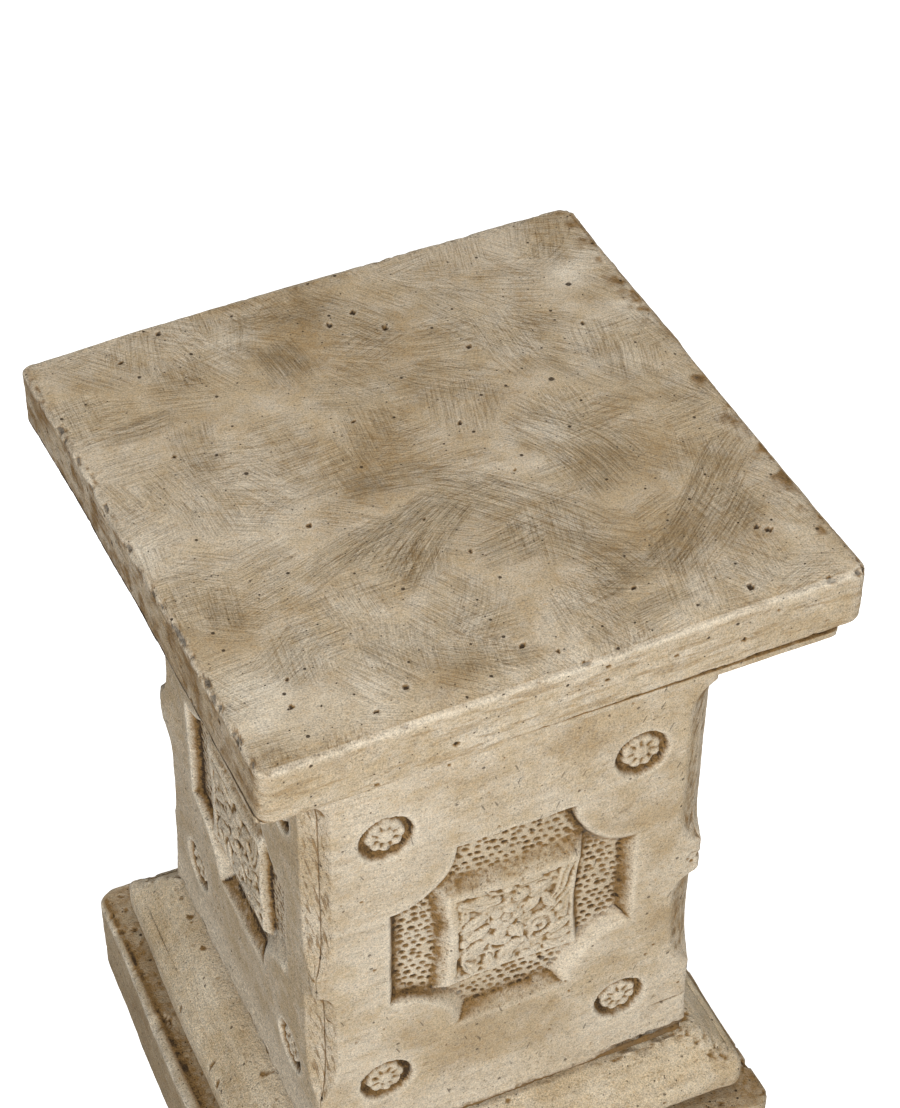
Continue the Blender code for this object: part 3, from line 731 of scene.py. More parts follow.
# ---------------- square courses
def square_loop(per_side, per_corner):
    """(shares of the straight sides, outward normals) of a loop round a square, anticlockwise from above."""
    shares = []
    outwards = []
    for quarter in range(4):
        turn = np.array(Matrix.Rotation(quarter * math.pi / 2, 2))
        for t in np.linspace(-1.0, 1.0, per_side + 1):
            shares.append(turn @ np.array([t, -1.0]))
            outwards.append(turn @ np.array([0.0, -1.0]))
        for angle in np.linspace(0.0, math.pi / 2, per_corner + 2)[1:-1]:
            shares.append(turn @ np.array([1.0, -1.0]))
            outwards.append(turn @ np.array([math.sin(angle), -math.cos(angle)]))
    return np.array(shares), np.array(outwards)


def swept_square(section, radius, shares, outwards):
    """Points and normals of a section swept round a rounded square, as (rows, columns, 3) arrays."""
    normals = section_normals(section)
    half = section[:, 0][:, None, None]
    around = shares[None] * (half - radius) + outwards[None] * radius
    rows, columns = around.shape[:2]
    points = np.empty((rows, columns, 3))
    points[..., :2] = around
    points[..., 2] = section[:, 1][:, None]
    directions = np.empty((rows, columns, 3))
    directions[..., :2] = outwards[None] * normals[:, 0][:, None, None]
    directions[..., 2] = normals[:, 1][:, None]
    return points, directions


def loop_places(points):
    """(distance of each point along a closed loop, the loop's length)."""
    steps = np.linalg.norm(np.roll(points, -1, axis=0) - points, axis=1)
    return np.concatenate([[0.0], np.cumsum(steps)[:-1]]), steps.sum()


def pits_over(points, centres, sizes, depth_share, warp):
    """The deepest of many pits at each point."""
    depth = np.zeros(points.shape[:-1])
    for centre, size in zip(centres, sizes):
        near = np.abs(points - centre).max(axis=-1) < 1.6 * size
        if near.any():
            found = pit(points[near], centre, size, depth_share * size, warp[near])
            depth[near] = np.maximum(depth[near], found)
    return depth


def places_on_square(seed, count, half, low, high):
    """Random places on the four upright sides of a square block."""
    random = np.random.default_rng(seed)
    along = random.uniform(-half, half, count)
    side = random.integers(0, 4, count)
    z = random.uniform(low, high, count)
    x = np.where(side == 1, half, np.where(side == 3, -half, along))
    y = np.where(side == 0, -half, np.where(side == 2, half, along))
    return np.stack([x, y, z], axis=-1)


def even_sizes(seed, count, smallest, largest):
    """Random sizes in metres between two given in millimetres."""
    return np.random.default_rng(seed).uniform(smallest * MM, largest * MM, count)


def side_weights(points):
    """How much each point belongs to the front, right, back and left side of a square block."""
    x = points[..., 0]
    y = points[..., 1]
    margin = 12 * MM
    outward_and_along = ((-y, x), (x, y), (y, x), (-x, y))
    return [smoothstep(-margin, margin, outward - np.abs(along)) for outward, along in outward_and_along]


def course_piece(name, node, section, radius, proud_of, per_side, extra_dirt_and_shade, hollow=False):
    """A square course: its section swept round and moved by proud_of(points), then closed."""
    shares, outwards = square_loop(per_side, CORNER_STEPS)
    points, directions = swept_square(section, radius, shares, outwards)
    proud = proud_of(points)
    along, length = loop_places(points[len(section) // 2])
    dirt, wear = relief_layers(proud, path_lengths(section), along, length)
    # The extra layer adds dirt, and on the moulding painted shade under its nose.
    dirt = np.clip(dirt + extra_dirt_and_shade(points), 0.0, 1.0)
    moved = points + directions * proud[..., None]
    moved[..., 2] = np.clip(moved[..., 2], section[:, 1].min(), section[:, 1].max())
    numbers = np.arange(proud.size).reshape(proud.shape)
    faces = grid_faces(numbers, closed=True)
    if hollow:
        faces += grid_faces(numbers[[-1, 0]], closed=True)
    else:
        faces.append(numbers[0].tolist())
        faces.append(numbers[-1][::-1].tolist())
    layers = {"dirt": dirt.ravel(), "wear": wear.ravel()}
    piece = make_mesh(name, moved.reshape(-1, 3), faces, layers)
    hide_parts(node)
    return piece


# ---------------- cap slab
SLAB_TURN = math.radians(1.2)
SLAB_RADIUS = 6.5 * MM
SLAB_ARRIS = 3.4 * MM
SLAB_FOOT_ARRIS = 2.2 * MM
# How far the hand-made slab's right and back edges and its back left corner run out
RIGHT_RUN_OUT = 4.2 * MM
BACK_RUN_OUT = 2.6 * MM
BACK_LEFT_RUN_IN = 2.8 * MM
CORNER_RUN_OUT = 1.8 * MM

# The larger holes in the slab's top, in millimetres: (x, y, radius)
TOP_HOLES = (
    (-69, -16, 1.5), (-109, 56, 1.4), (-13, -129, 1.7), (50, -118, 1.5), (56, 71, 1.6), (14, 118, 1.9),
    (24, 101, 1.9), (-1, 114, 1.8), (-72, -131, 1.6), (119, -106, 1.7), (123, -110, 1.9), (98, -140, 2.1),
    (-123, -120, 1.5), (-118, -104, 1.2), (-90, -139, 1.4), (-82, 143, 1.7), (-107, 131, 1.5),
    (114, 63, 1.3), (-20, 43, 1.3), (27, 20, 1.5), (0, -139, 1.3), (36, -22, 1.1), (-8, -64, 1.2),
    (-18, -35, 1.0),
)
# Chips on the slab's front right corner, in millimetres: (in from the right, from the front, down, radius)
CORNER_CHIPS = ((0, 0, 1, 4.4), (5, 0, 3, 2.6), (0, 9, 0, 2.2))

# Patches of brush strokes on the slab's top, in millimetres:
# (x, y, direction in degrees, half length, half width, bend, fan, strength)
BRUSH_PATCHES = (
    (-33, 100, 95, 17, 15, 3, 2, 0.9), (8, 118, -50, 34, 18, -3, 3, 0.9),
    (80, 78, -52, 62, 26, 2, 1, 0.8), (-98, 50, 88, 30, 14, -5, 2, 0.8), (-76, 8, 22, 30, 12, -9, 4, 0.9),
    (-14, -3, -12, 38, 12, -3, 3, 0.9), (27, -42, -48, 58, 20, -3, 2, 1.0),
    (-26, -42, 215, 38, 22, 3, 9, 1.0), (72, -14, -62, 42, 24, -7, 5, 1.0),
    (98, -96, 40, 40, 22, 2, 1, 1.0), (128, -58, 42, 24, 16, -4, 2, 0.9),
    (10, -68, 10, 22, 14, 4, 3, 0.8), (46, -88, -60, 28, 18, -9, 8, 1.0),
    (-20, -98, 55, 24, 16, 5, 3, 0.7), (-127, -50, 80, 17, 10, 0, 2, 0.8),
    (-116, 82, 3, 24, 9, 3, 2, 0.7), (-50, 128, 70, 18, 16, 5, 4, 0.6), (66, 122, -35, 32, 14, 3, 2, 0.6),
    (116, 116, 25, 22, 12, 4, 2, 0.7), (-84, 112, 85, 16, 20, 0, 3, 0.6),
    (-5, 60, -14, 36, 18, 4, 2, 0.6), (46, 50, -35, 34, 16, -3, 2, 0.7), (-66, 34, 95, 20, 20, 3, 3, 0.6),
    (104, 30, -56, 34, 16, 3, 2, 0.7), (-60, -38, 198, 38, 11, 2, 3, 0.9),
    (-64, -106, 75, 22, 24, -4, 4, 0.6), (46, -110, 14, 48, 8, 2, 1, 0.8),
    (70, -128, 8, 42, 7, 1, 1, 0.7), (-110, -92, 35, 24, 18, 4, 3, 0.6),
    (-30, -128, -20, 30, 9, 3, 2, 0.6), (128, 0, -60, 26, 12, 3, 2, 0.7),
    (-128, 20, 86, 30, 8, 2, 1, 0.5), (-20, 132, -8, 34, 9, 0, 1, 0.6),
)
BRUSH_LAYERS = 4
# The bristle noise: its scale along a stroke and across it, and how far apart two patches lie in it
ALONG_STROKE = 20.0
ACROSS_STROKE = 620.0
PATCH_APART = 7.3

# Brown stains (strength above 0) and pale, rubbed places (below 0) on the top, in millimetres:
# (x, y, size, strength)
TOP_STAINS = (
    (0, 98, 26, 0.8), (22, 75, 20, 0.6), (-11, 13, 24, 0.6), (54, 28, 20, 0.7), (30, 45, 18, 0.5),
    (-28, 0, 12, 0.6), (-59, -20, 11, 0.6), (90, -94, 22, 0.9), (128, -62, 15, 0.9), (112, -40, 12, 0.6),
    (-98, 52, 15, 0.6), (-81, -89, 12, 0.6), (-98, -75, 12, 0.4), (135, 139, 16, 0.9), (-112, 126, 18, 0.5),
    (-10, 145, 30, 0.6), (-40, 90, 14, 0.5), (-128, -50, 10, 0.6), (10, -60, 16, 0.4), (60, -112, 22, 0.5),
    (-55, -135, 14, 0.5), (118, -108, 12, 0.7), (-60, 25, 22, 0.3), (-48, 145, 14, 0.5), (75, 130, 22, 0.4),
    (-78, 106, 12, 0.3), (-130, -105, 28, -0.8), (-148, 0, 14, -0.6), (-95, -132, 26, -0.4),
    (130, 105, 14, -0.7), (144, 60, 14, -0.6), (70, -150, 26, -0.4), (0, -150, 24, -0.35),
    (-70, -90, 24, -0.3), (-52, 120, 12, -0.5), (65, -2, 14, -0.6), (-75, -68, 20, -0.5),
    (120, 30, 16, -0.3), (135, -120, 10, -0.5), (-90, -15, 16, -0.4), (60, 104, 10, -0.3),
    (-126, 110, 9, -0.4),
)


def slab_section():
    """Rows from the rim of the slab's flat top, round the arris, down the side and under."""
    section = Section(CAP_HALF - SLAB_ARRIS, CAP_TOP)
    section.turn((SLAB_ARRIS,) * 2, 90, 0, 5)
    section.upright(CAP_BOTTOM + SLAB_FOOT_ARRIS, 1.05 * MM)
    section.turn((SLAB_FOOT_ARRIS,) * 2, 0, -90, 4)
    section.level(FLANGE_HALF - 12 * MM, 2.5 * MM)
    return section.array()


def slab_scars(points, inward, at_arris):
    """Depth of the slab's ragged arris, chips and holes."""
    front, right, _, left = side_weights(points)
    clusters = np.maximum(smoothstep(-0.3, 0.5, fractal(points, 38 * MM, 2, 312)), 0.7 * left)
    ragged = fractal(points, 9.0 * MM, 3, 313) + 0.35 * fractal(points, 2.6 * MM, 2, 315)
    ragged = np.clip(ragged - 0.12 + 0.14 * left + 0.08 * right - 0.10 * front, 0.0, 1.0)
    scars = at_arris * clusters * ragged * (2.4 + 1.8 * left) * MM
    at_foot = bell(points[..., 2] - CAP_BOTTOM, 2.0 * MM) * smoothstep(4 * MM, 1 * MM, inward)
    scars = scars + at_foot * np.clip(fractal(points, 6 * MM, 3, 314), 0.0, 1.0) * 1.8 * MM

    warp = 0.6 * fractal(points, 2.6 * MM, 2, 301)
    random = np.random.default_rng(308)
    chip_places = places_on_square(309, 18, CAP_HALF - 0.6 * MM, CAP_TOP - 1.2 * MM, CAP_TOP)
    chip_sizes = 0.9 * MM + 2.4 * MM * random.random(18) ** 2.2
    scars = scars + pits_over(points, chip_places, chip_sizes, 0.55, warp)
    corner = [(CAP_HALF - x * MM, -CAP_HALF + y * MM, CAP_TOP - z * MM) for x, y, z, _ in CORNER_CHIPS]
    scars = scars + pits_over(points, np.array(corner), [size * MM for *_, size in CORNER_CHIPS], 0.6, warp)
    holes = np.array([(x * MM, y * MM, CAP_TOP) for x, y, _ in TOP_HOLES])
    scars = scars + pits_over(points, holes, [1.02 * size * MM for *_, size in TOP_HOLES], 0.8, 0.4 * warp)
    side_holes = places_on_square(311, 44, CAP_HALF, CAP_BOTTOM, CAP_TOP)
    return scars + pits_over(points, side_holes, random.uniform(0.9 * MM, 1.7 * MM, 44), 0.7, 0.5 * warp)


def slab_relief(points):
    """(how proud the slab is at each point, how deep its scars are): hand-worked waves, worn rim, scars."""
    front, right, _, left = side_weights(points)
    below = CAP_TOP - points[..., 2]
    on_top = smoothstep(2.0 * MM, 0.2 * MM, below)
    inward = CAP_HALF - np.maximum(np.abs(points[..., 0]), np.abs(points[..., 1]))
    at_arris = np.exp(-(((inward - 1.0 * MM) ** 2 + (below - 1.0 * MM) ** 2) / (2.6 * MM) ** 2))
    side_waves = uneven(points, (1.1, 95, 2, 302), (0.35, 18, 2, 303))
    top_waves = uneven(points, (0.45, 80, 2, 304), (0.14, 15, 3, 305))
    rim = (0.4 + 0.4 * front + 0.2 * right) * MM * smoothstep(11 * MM, 3 * MM, inward) * on_top
    streaks = uneven(stretched_along(points, 0.3), (0.20, 2.4, 2, 306)) * (1.0 - on_top)
    proud = side_waves * (1.0 - on_top) + top_waves * on_top + streaks - rim
    proud = proud + uneven(points, (0.07, 3.4, 2, 307))
    proud = proud + at_arris * (0.5 * left - 0.5 * front - 0.7 * right) * MM
    scars = slab_scars(points, inward, at_arris)
    return proud - scars, scars


def brush_strokes(points):
    """For each layer of brush strokes: (a vector along and across the bristles, their strength)."""
    x = points[..., 0]
    y = points[..., 1]
    layers = [(np.zeros(x.shape + (3,)), np.zeros(x.shape)) for _ in range(BRUSH_LAYERS)]
    for number, (cx, cy, direction, length, width, bend, fan, weight) in enumerate(BRUSH_PATCHES):
        turn = math.radians(direction)
        dx = x - cx * MM
        dy = y - cy * MM
        along = dx * math.cos(turn) + dy * math.sin(turn)
        across = -dx * math.sin(turn) + dy * math.cos(turn) - bend * along**2
        across = across / np.clip(1.0 + fan * along, 0.45, 2.0)
        strength = smoothstep(1.0, 0.55, np.abs(along) / (length * MM))
        strength = weight * strength * smoothstep(1.0, 0.6, np.abs(across) / (width * MM))
        here = strength > 0.0
        free = [layer for layer in layers if not (layer[1][here] > 0.0).any()]
        vector, total = free[0] if free else layers[number % BRUSH_LAYERS]
        here = here & (total <= 0.0)
        apart = np.full(x.shape, PATCH_APART * number)
        vector[here] = np.stack([along * ALONG_STROKE, across * ACROSS_STROKE, apart], axis=-1)[here]
        total[here] = strength[here]
    return [(spread_out(vector, total), total) for vector, total in layers]


def spread_out(vector, total):
    """Carries each patch's vectors a few cells past its edge, so nothing jumps where the strength fades."""
    known = total > 0.0
    for _ in range(2):
        for axis in (0, 1):
            for step in (1, -1):
                moved = np.roll(vector, step, axis=axis)
                beyond = 2.0 * moved - np.roll(vector, 2 * step, axis=axis)
                have = np.roll(known, step, axis=axis) & np.roll(known, 2 * step, axis=axis)
                fill = have & ~known
                vector[fill] = beyond[fill]
                known = known | fill
    return vector


def top_stains(points):
    """How brown (above 0) or pale (below 0) each point of the top is."""
    total = np.zeros(points.shape[:-1])
    warp = 9 * MM * np.stack([fractal(points, 18 * MM, 3, seed) for seed in (321, 322)])
    for x, y, size, strength in TOP_STAINS:
        away = np.hypot(points[..., 0] + warp[0] - x * MM, points[..., 1] + warp[1] - y * MM)
        total = total + strength * bell(away, size * MM)
    return total


def spread_slab(points):
    """Move the slab's right and back edges out: the hand-made slab is not quite square."""
    out = points.copy()
    out[:, 0] += RIGHT_RUN_OUT * smoothstep(70 * MM, 144 * MM, points[:, 0])
    back_left = smoothstep(-80 * MM, -150 * MM, points[:, 0])
    run_out = BACK_RUN_OUT - BACK_LEFT_RUN_IN * back_left
    out[:, 1] += run_out * smoothstep(70 * MM, 144 * MM, points[:, 1])
    out[:, 0] -= CORNER_RUN_OUT * back_left * smoothstep(60 * MM, 145 * MM, points[:, 1])
    return out


def top_grid(start):
    """(places across, points, point numbers) of the slab's flat top, a square grid with round corners."""
    count = 2 * round(start / (1.3 * MM)) + 1
    places = np.linspace(-start, start, count)
    x, y = np.meshgrid(places, places, indexing="ij")
    core = start - SLAB_RADIUS
    core_x = np.clip(x, -core, core)
    core_y = np.clip(y, -core, core)
    dx = x - core_x
    dy = y - core_y
    long = np.hypot(dx, dy)
    shrink = np.where(long > 0, np.maximum(np.abs(dx), np.abs(dy)) / np.maximum(long, 1e-9), 0.0)
    points = np.stack([core_x + dx * shrink, core_y + dy * shrink, np.full_like(x, CAP_TOP)], axis=-1)
    return places, points, np.arange(count * count).reshape(count, count)


def slab_side_attributes(section, sides, proud, scars):
    """(dirt, wear) of the slab's sides, with painted shade along the seam at their foot and a painted
    highlight along the front arris.
    """
    along, length = loop_places(sides[0])
    dirt, wear = relief_layers(proud, path_lengths(section), along, length)
    front, right, back, left = side_weights(sides)
    height = sides[..., 2]
    # Rubbed wear and painted highlight: a chalky band along the top arris, strongest on the front, which
    # faces the key light.
    rim_wear_and_highlight = bell(height - CAP_TOP + 1.4 * MM, 2.2 * MM)
    wear = 0.6 * wear + (0.9 * front + 0.15 * right + 0.4 * back + 0.3 * left) * rim_wear_and_highlight
    dirt = dirt + (0.36 * left + 0.35 * right) * np.clip(0.6 + fractal(sides, 9 * MM, 3, 331), 0.0, 1.2)
    dirt = dirt + 1.0 * smoothstep(0.4 * MM, 1.4 * MM, scars)
    # Painted shade: the foot of every side is darkened for the shadow in the seam over the shaft, and the
    # left side more deeply.
    dirt = dirt + 0.7 * smoothstep(CAP_BOTTOM + 1.8 * MM, CAP_BOTTOM + 0.7 * MM, height)
    dirt = dirt + 1.3 * left * smoothstep(CAP_BOTTOM + 3.8 * MM, CAP_BOTTOM + 2.8 * MM, height)
    return dirt, np.clip(wear, 0.0, 1.0)


def slab_piece():
    """The top slab: a grid for its brushed top and a swept side, joined along the rim."""
    section = slab_section()
    start = section[0, 0]
    core = start - SLAB_RADIUS
    places, top_points, numbers = top_grid(start)
    loop = np.concatenate([numbers[:-1, 0], numbers[-1, :-1], numbers[:0:-1, -1], numbers[0, :0:-1]])
    rim = top_points.reshape(-1, 3)[loop, :2]
    grid_places = np.stack(np.meshgrid(places, places, indexing="ij"), -1).reshape(-1, 2)
    rim_core = np.clip(grid_places[loop], -core, core)
    sides, directions = swept_square(section, SLAB_RADIUS, rim_core / core, (rim - rim_core) / SLAB_RADIUS)

    top_proud, top_scars = slab_relief(top_points)
    side_proud, side_scars = slab_relief(sides)
    side_proud[0] = top_proud.ravel()[loop]
    top_dirt, top_wear = relief_layers(top_proud, places, places)
    top_dirt = top_dirt + 1.3 * smoothstep(0.35 * MM, 1.1 * MM, top_scars)
    grime = smoothstep(16 * MM, 2 * MM, start - top_points[..., 0])
    top_dirt = top_dirt + 1.7 * grime * np.clip(fractal(top_points, 8 * MM, 3, 332) + 0.05, 0.0, 1.0)
    side_dirt, side_wear = slab_side_attributes(section, sides, side_proud, side_scars)

    top_moved = top_points + np.array([0.0, 0.0, 1.0]) * np.minimum(top_proud, 1.5 * MM)[..., None]
    side_moved = sides + directions * side_proud[..., None]
    points = np.concatenate([top_moved.reshape(-1, 3), side_moved[1:].reshape(-1, 3)])
    below_rim = (len(section) - 1) * len(loop)
    ring = np.arange(below_rim).reshape(-1, len(loop)) + numbers.size
    ring = np.concatenate([loop[None], ring])
    faces = grid_faces(numbers, closed=False) + grid_faces(ring, closed=True)
    faces.append(ring[-1][::-1].tolist())
    blank = np.zeros(below_rim)
    layers = {
        "dirt": np.concatenate([top_dirt.ravel(), side_dirt[1:].ravel()]),
        "wear": np.concatenate([top_wear.ravel(), side_wear[1:].ravel()]),
        "stain": np.concatenate([top_stains(top_points).ravel(), blank]),
    }
    for number, (strokes, strength) in enumerate(brush_strokes(top_points)):
        layers[f"stroke_{number}"] = np.concatenate([strokes.reshape(-1, 3), np.zeros((below_rim, 3))])
        layers[f"stroke_strength_{number}"] = np.concatenate([strength.ravel(), blank])
    askew = np.array(Matrix.Rotation(SLAB_TURN, 3, "Z"))
    piece = make_mesh("cast_cap_slab", spread_slab(points) @ askew.T, faces, layers)
    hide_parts("cap_slab")
    return piece


# ---------------- mortar joints, moulding and plinth
# The mortar beds: (name, node, its low and high corner, half width of its hole, roughness, seed)
MORTAR_BEDS = (
    ("cap_bed_mortar", "cap_joint", CAP_JOINT_LOW, CAP_JOINT_HIGH, 80 * MM, 0.5 * MM, 701),
    ("foot_bed_mortar", "shaft_foot_joint", FOOT_LOW, FOOT_HIGH, 80 * MM, 1.3 * MM, 711),
    ("plinth_bed_mortar", "plinth_joint", PLINTH_JOINT_LOW, PLINTH_JOINT_HIGH, 84 * MM, 1.6 * MM, 721),
)
# How round the corners of each course are, seen from above
BED_RADIUS = 4.0 * MM
MOULDING_RADIUS = 6.0 * MM
PLINTH_RADIUS = 9.0 * MM
# How many steps a course's mesh has along each side (more on the larger plinth) and round each corner
SIDE_STEPS = 190
PLINTH_SIDE_STEPS = 205
CORNER_STEPS = 8
# How far the moulding's and the plinth's sides run out of true, in millimetres: (front, right, back, left)
MOULDING_OUT = (0.0, 3.4, -4.5, 0.0)
PLINTH_OUT = (0.0, 1.0, -3.0, 1.0)


def mortar_bed(name, node, low, high, inner, rough, seed):
    """A recessed, crumbly mortar bed."""
    outer = high[0]
    section = Section(inner, high[2])
    section.level(outer, 4 * MM)
    section.upright(low[2], 0.7 * MM)
    section.level(inner, 6 * MM)

    def relief(points):
        far_out = smoothstep(outer - 5 * MM, outer - 1 * MM, np.abs(points[..., :2]).max(axis=-1))
        bumps = fractal(points, 6 * MM, 3, seed) + 0.6 * value_noise(points, 2.2 * MM, seed + 1)
        return rough * bumps * far_out

    rows = section.array()
    return course_piece(name, node, rows, BED_RADIUS, relief, SIDE_STEPS, mortar_dirt, hollow=True)


def mortar_dirt(points):
    return np.full(points.shape[:-1], 0.75)


def leaning(points):
    """How far the left side of the base runs out: more and more from back to front."""
    return (1.4 + 4.4 * smoothstep(140 * MM, 5 * MM, points[..., 1])) * MM


def out_of_true(sides, amounts):
    """The sum of each side's weight times how far it runs out."""
    return sum(weight * amount * MM for weight, amount in zip(sides, amounts) if amount)


def foot_opening(x, y):
    """Where the joint over the moulding gapes: at the right end of the front, and round its corner."""
    front = (y < -0.9 * np.abs(x)) * smoothstep(46 * MM, 72 * MM, x)
    right = (x > 0.9 * np.abs(y)) * smoothstep(-60 * MM, -85 * MM, y) * 0.6
    return np.maximum(front, right)


def moulding_section():
    """Rows of the base moulding: lip, sloping top, rounded nose and undercut."""
    top = MOULDING_TOP
    nose = MOULDING_HALF
    lip = nose - 21.7 * MM
    slope_start = top - 0.6 * MM
    slope_half = nose - 3.6 * MM
    slope_foot = top - 17.0 * MM
    nose_top = slope_foot - 4.4 * MM
    nose_foot = MOULDING_BOTTOM + 4.6 * MM
    section = Section(lip - 16 * MM, top)
    section.rows += [(lip - 8 * MM, top), (lip - 4 * MM, top)]
    section.level(lip - 0.8 * MM, 1.1 * MM)
    for t in np.linspace(0.0, 1.0, 25):
        section.rows.append((lip + (slope_half - lip) * t, slope_start + (slope_foot - slope_start) * t))
    section.arc((nose - 7.0 * MM, nose_top), (7.0 * MM, 6.0 * MM), 55, 0, 7)
    section.upright(nose_foot, 1.1 * MM)
    section.arc((nose - 4.0 * MM, nose_foot), (4.0 * MM, 4.6 * MM), 0, -80, 7)
    undercut = spaced(nose - 4.2 * MM, nose - 16 * MM, 2.5 * MM)
    section.rows += [(half, MOULDING_BOTTOM) for half in undercut]
    return section.array()


def moulding_relief(points):
    """How proud the moulding is: waves, a soft ridge and a rough band on its slope, worn mitres, chips."""
    height = points[..., 2]
    across = np.maximum(np.abs(points[..., 0]), np.abs(points[..., 1]))
    ridge_at = MOULDING_HALF - 14.0 * MM
    warp = 0.6 * fractal(points, 2.6 * MM, 2, 501)
    proud = uneven(points, (0.8, 85, 2, 502), (0.26, 13, 2, 503), (0.10, 3.0, 2, 504))
    proud = proud + 0.60 * MM * bell(across - ridge_at, 2.4 * MM)
    on_slope = smoothstep(MOULDING_TOP - 19 * MM, MOULDING_TOP - 14 * MM, height)
    rough_band = bell(across - ridge_at + 4.5 * MM, 2.6 * MM) * on_slope
    rough_band = rough_band * (0.5 + 0.5 * fractal(points, 40 * MM, 2, 505))
    proud = proud - 0.55 * MM * rough_band * np.clip(fractal(points, 2.6 * MM, 2, 506) + 0.25, 0.0, 1.0)
    sides = side_weights(points)
    proud = proud + out_of_true(sides, MOULDING_OUT) + sides[3] * leaning(points)
    mitre = bell(np.abs(points[..., 0]) - np.abs(points[..., 1]), 7 * MM)
    proud = proud - mitre * on_slope * (fractal(points, 5 * MM, 3, 507) + 0.1) * 3.4 * MM
    opened = smoothstep(MOULDING_TOP - 4 * MM, MOULDING_TOP, height)
    opened = opened * foot_opening(points[..., 0], points[..., 1])
    proud = proud - opened * (1.6 * MM + uneven(points, (1.4, 4, 2, 508)))
    lips = places_on_square(509, 40, MOULDING_HALF - 21 * MM, MOULDING_TOP - 1.5 * MM, MOULDING_TOP)
    proud = proud - pits_over(points, lips, even_sizes(510, 40, 1.2, 3.0), 0.5, warp)
    nose_foot = MOULDING_BOTTOM + 4 * MM
    holes = places_on_square(511, 60, MOULDING_HALF - 0.5 * MM, nose_foot, MOULDING_TOP - 17 * MM)
    return proud - pits_over(points, holes, even_sizes(512, 60, 0.9, 1.7), 0.7, warp)


# Painted shade: the moulding is darkened towards the foot of its nose and its undercut, where shade falls.
def moulding_undercut_shade(points):
    return 0.45 * smoothstep(MOULDING_BOTTOM + 4 * MM, MOULDING_BOTTOM, points[..., 2])


def plinth_section():
    """Rows of the plinth: a rim of its top, a worn arris, the side and a small foot arris."""
    arris = 2.6 * MM
    foot_arris = 2.0 * MM
    section = Section(PLINTH_HALF - 44 * MM, PLINTH_TOP)
    section.level(PLINTH_HALF - 30 * MM, 4 * MM)
    section.level(PLINTH_HALF - arris, 1.25 * MM)
    section.turn((arris,) * 2, 90, 0, 4)
    section.upright(foot_arris, 1.35 * MM)
    section.turn((foot_arris,) * 2, 0, -90, 3)
    section.level(PLINTH_HALF - 20 * MM, 4 * MM)
    return section.array()


def plinth_relief(points):
    """How proud the plinth is: waves, level streaks on its sides, a chipped arris and holes in its top."""
    warp = 0.6 * fractal(points, 2.6 * MM, 2, 601)
    on_top = smoothstep(PLINTH_TOP - 3 * MM, PLINTH_TOP, points[..., 2])
    proud = uneven(points, (1.0, 80, 2, 602), (0.30, 14, 2, 603))
    proud = proud + (0.10 + 0.20 * on_top) * MM * fractal(points, 2.8 * MM, 2, 604)
    sides = side_weights(points)
    shift = out_of_true(sides, PLINTH_OUT) + sides[3] * leaning(points)
    streaks = uneven(stretched_along(points, 0.1), (0.22, 2.0, 2, 606))
    proud = proud + (shift + streaks) * (1.0 - on_top)
    rims = places_on_square(607, 70, PLINTH_HALF - 0.6 * MM, PLINTH_TOP - 1.2 * MM, PLINTH_TOP)
    rim_sizes = 1.2 * MM + 3.4 * MM * np.random.default_rng(608).random(70) ** 2.0
    holes = places_on_square(609, 60, PLINTH_HALF - 9 * MM, PLINTH_TOP, PLINTH_TOP)
    proud = proud - pits_over(points, rims, rim_sizes, 0.5, warp)
    return proud - pits_over(points, holes, even_sizes(610, 60, 0.9, 2.1), 0.9, 0.5 * warp)


def plinth_dirt(points):
    return 0.35 * smoothstep(PLINTH_TOP - 2 * MM, PLINTH_TOP, points[..., 2])


def stone_pieces():
    """All the stone, grouped by the material it wears."""
    moulding = ("cast_base_moulding", "base_moulding", moulding_section(), MOULDING_RADIUS)
    plinth = ("cast_plinth", "plinth", plinth_section(), PLINTH_RADIUS)
    return {
        "slab": [slab_piece()],
        "panels": [panel_piece(side) for side in SIDES],
        "joints": [mortar_bed(*bed) for bed in MORTAR_BEDS],
        "moulding": [course_piece(*moulding, moulding_relief, SIDE_STEPS, moulding_undercut_shade)],
        "plinth": [course_piece(*plinth, plinth_relief, PLINTH_SIDE_STEPS, plinth_dirt)],
    }


# ---------------- materials: building node trees
def srgb(red, green, blue):
    """A linear RGBA colour from display values of 0 to 255."""
    linear = []
    for value in (red, green, blue):
        share = value / 255.0
        linear.append(share / 12.92 if share <= 0.04045 else ((share + 0.055) / 1.055) ** 2.4)
    return (*linear, 1.0)


class Value:
    """An output socket that can be reckoned with: +, - and * add a math node."""

    def __init__(self, surface, socket):
        self.surface = surface
        self.socket = socket

    def __add__(self, other):
        return self.surface.math("ADD", self, other)

    def __mul__(self, other):
        return self.surface.math("MULTIPLY", self, other)

    def __sub__(self, other):
        return self.surface.math("SUBTRACT", self, other)

    def __rsub__(self, other):
        return self.surface.math("SUBTRACT", other, self)


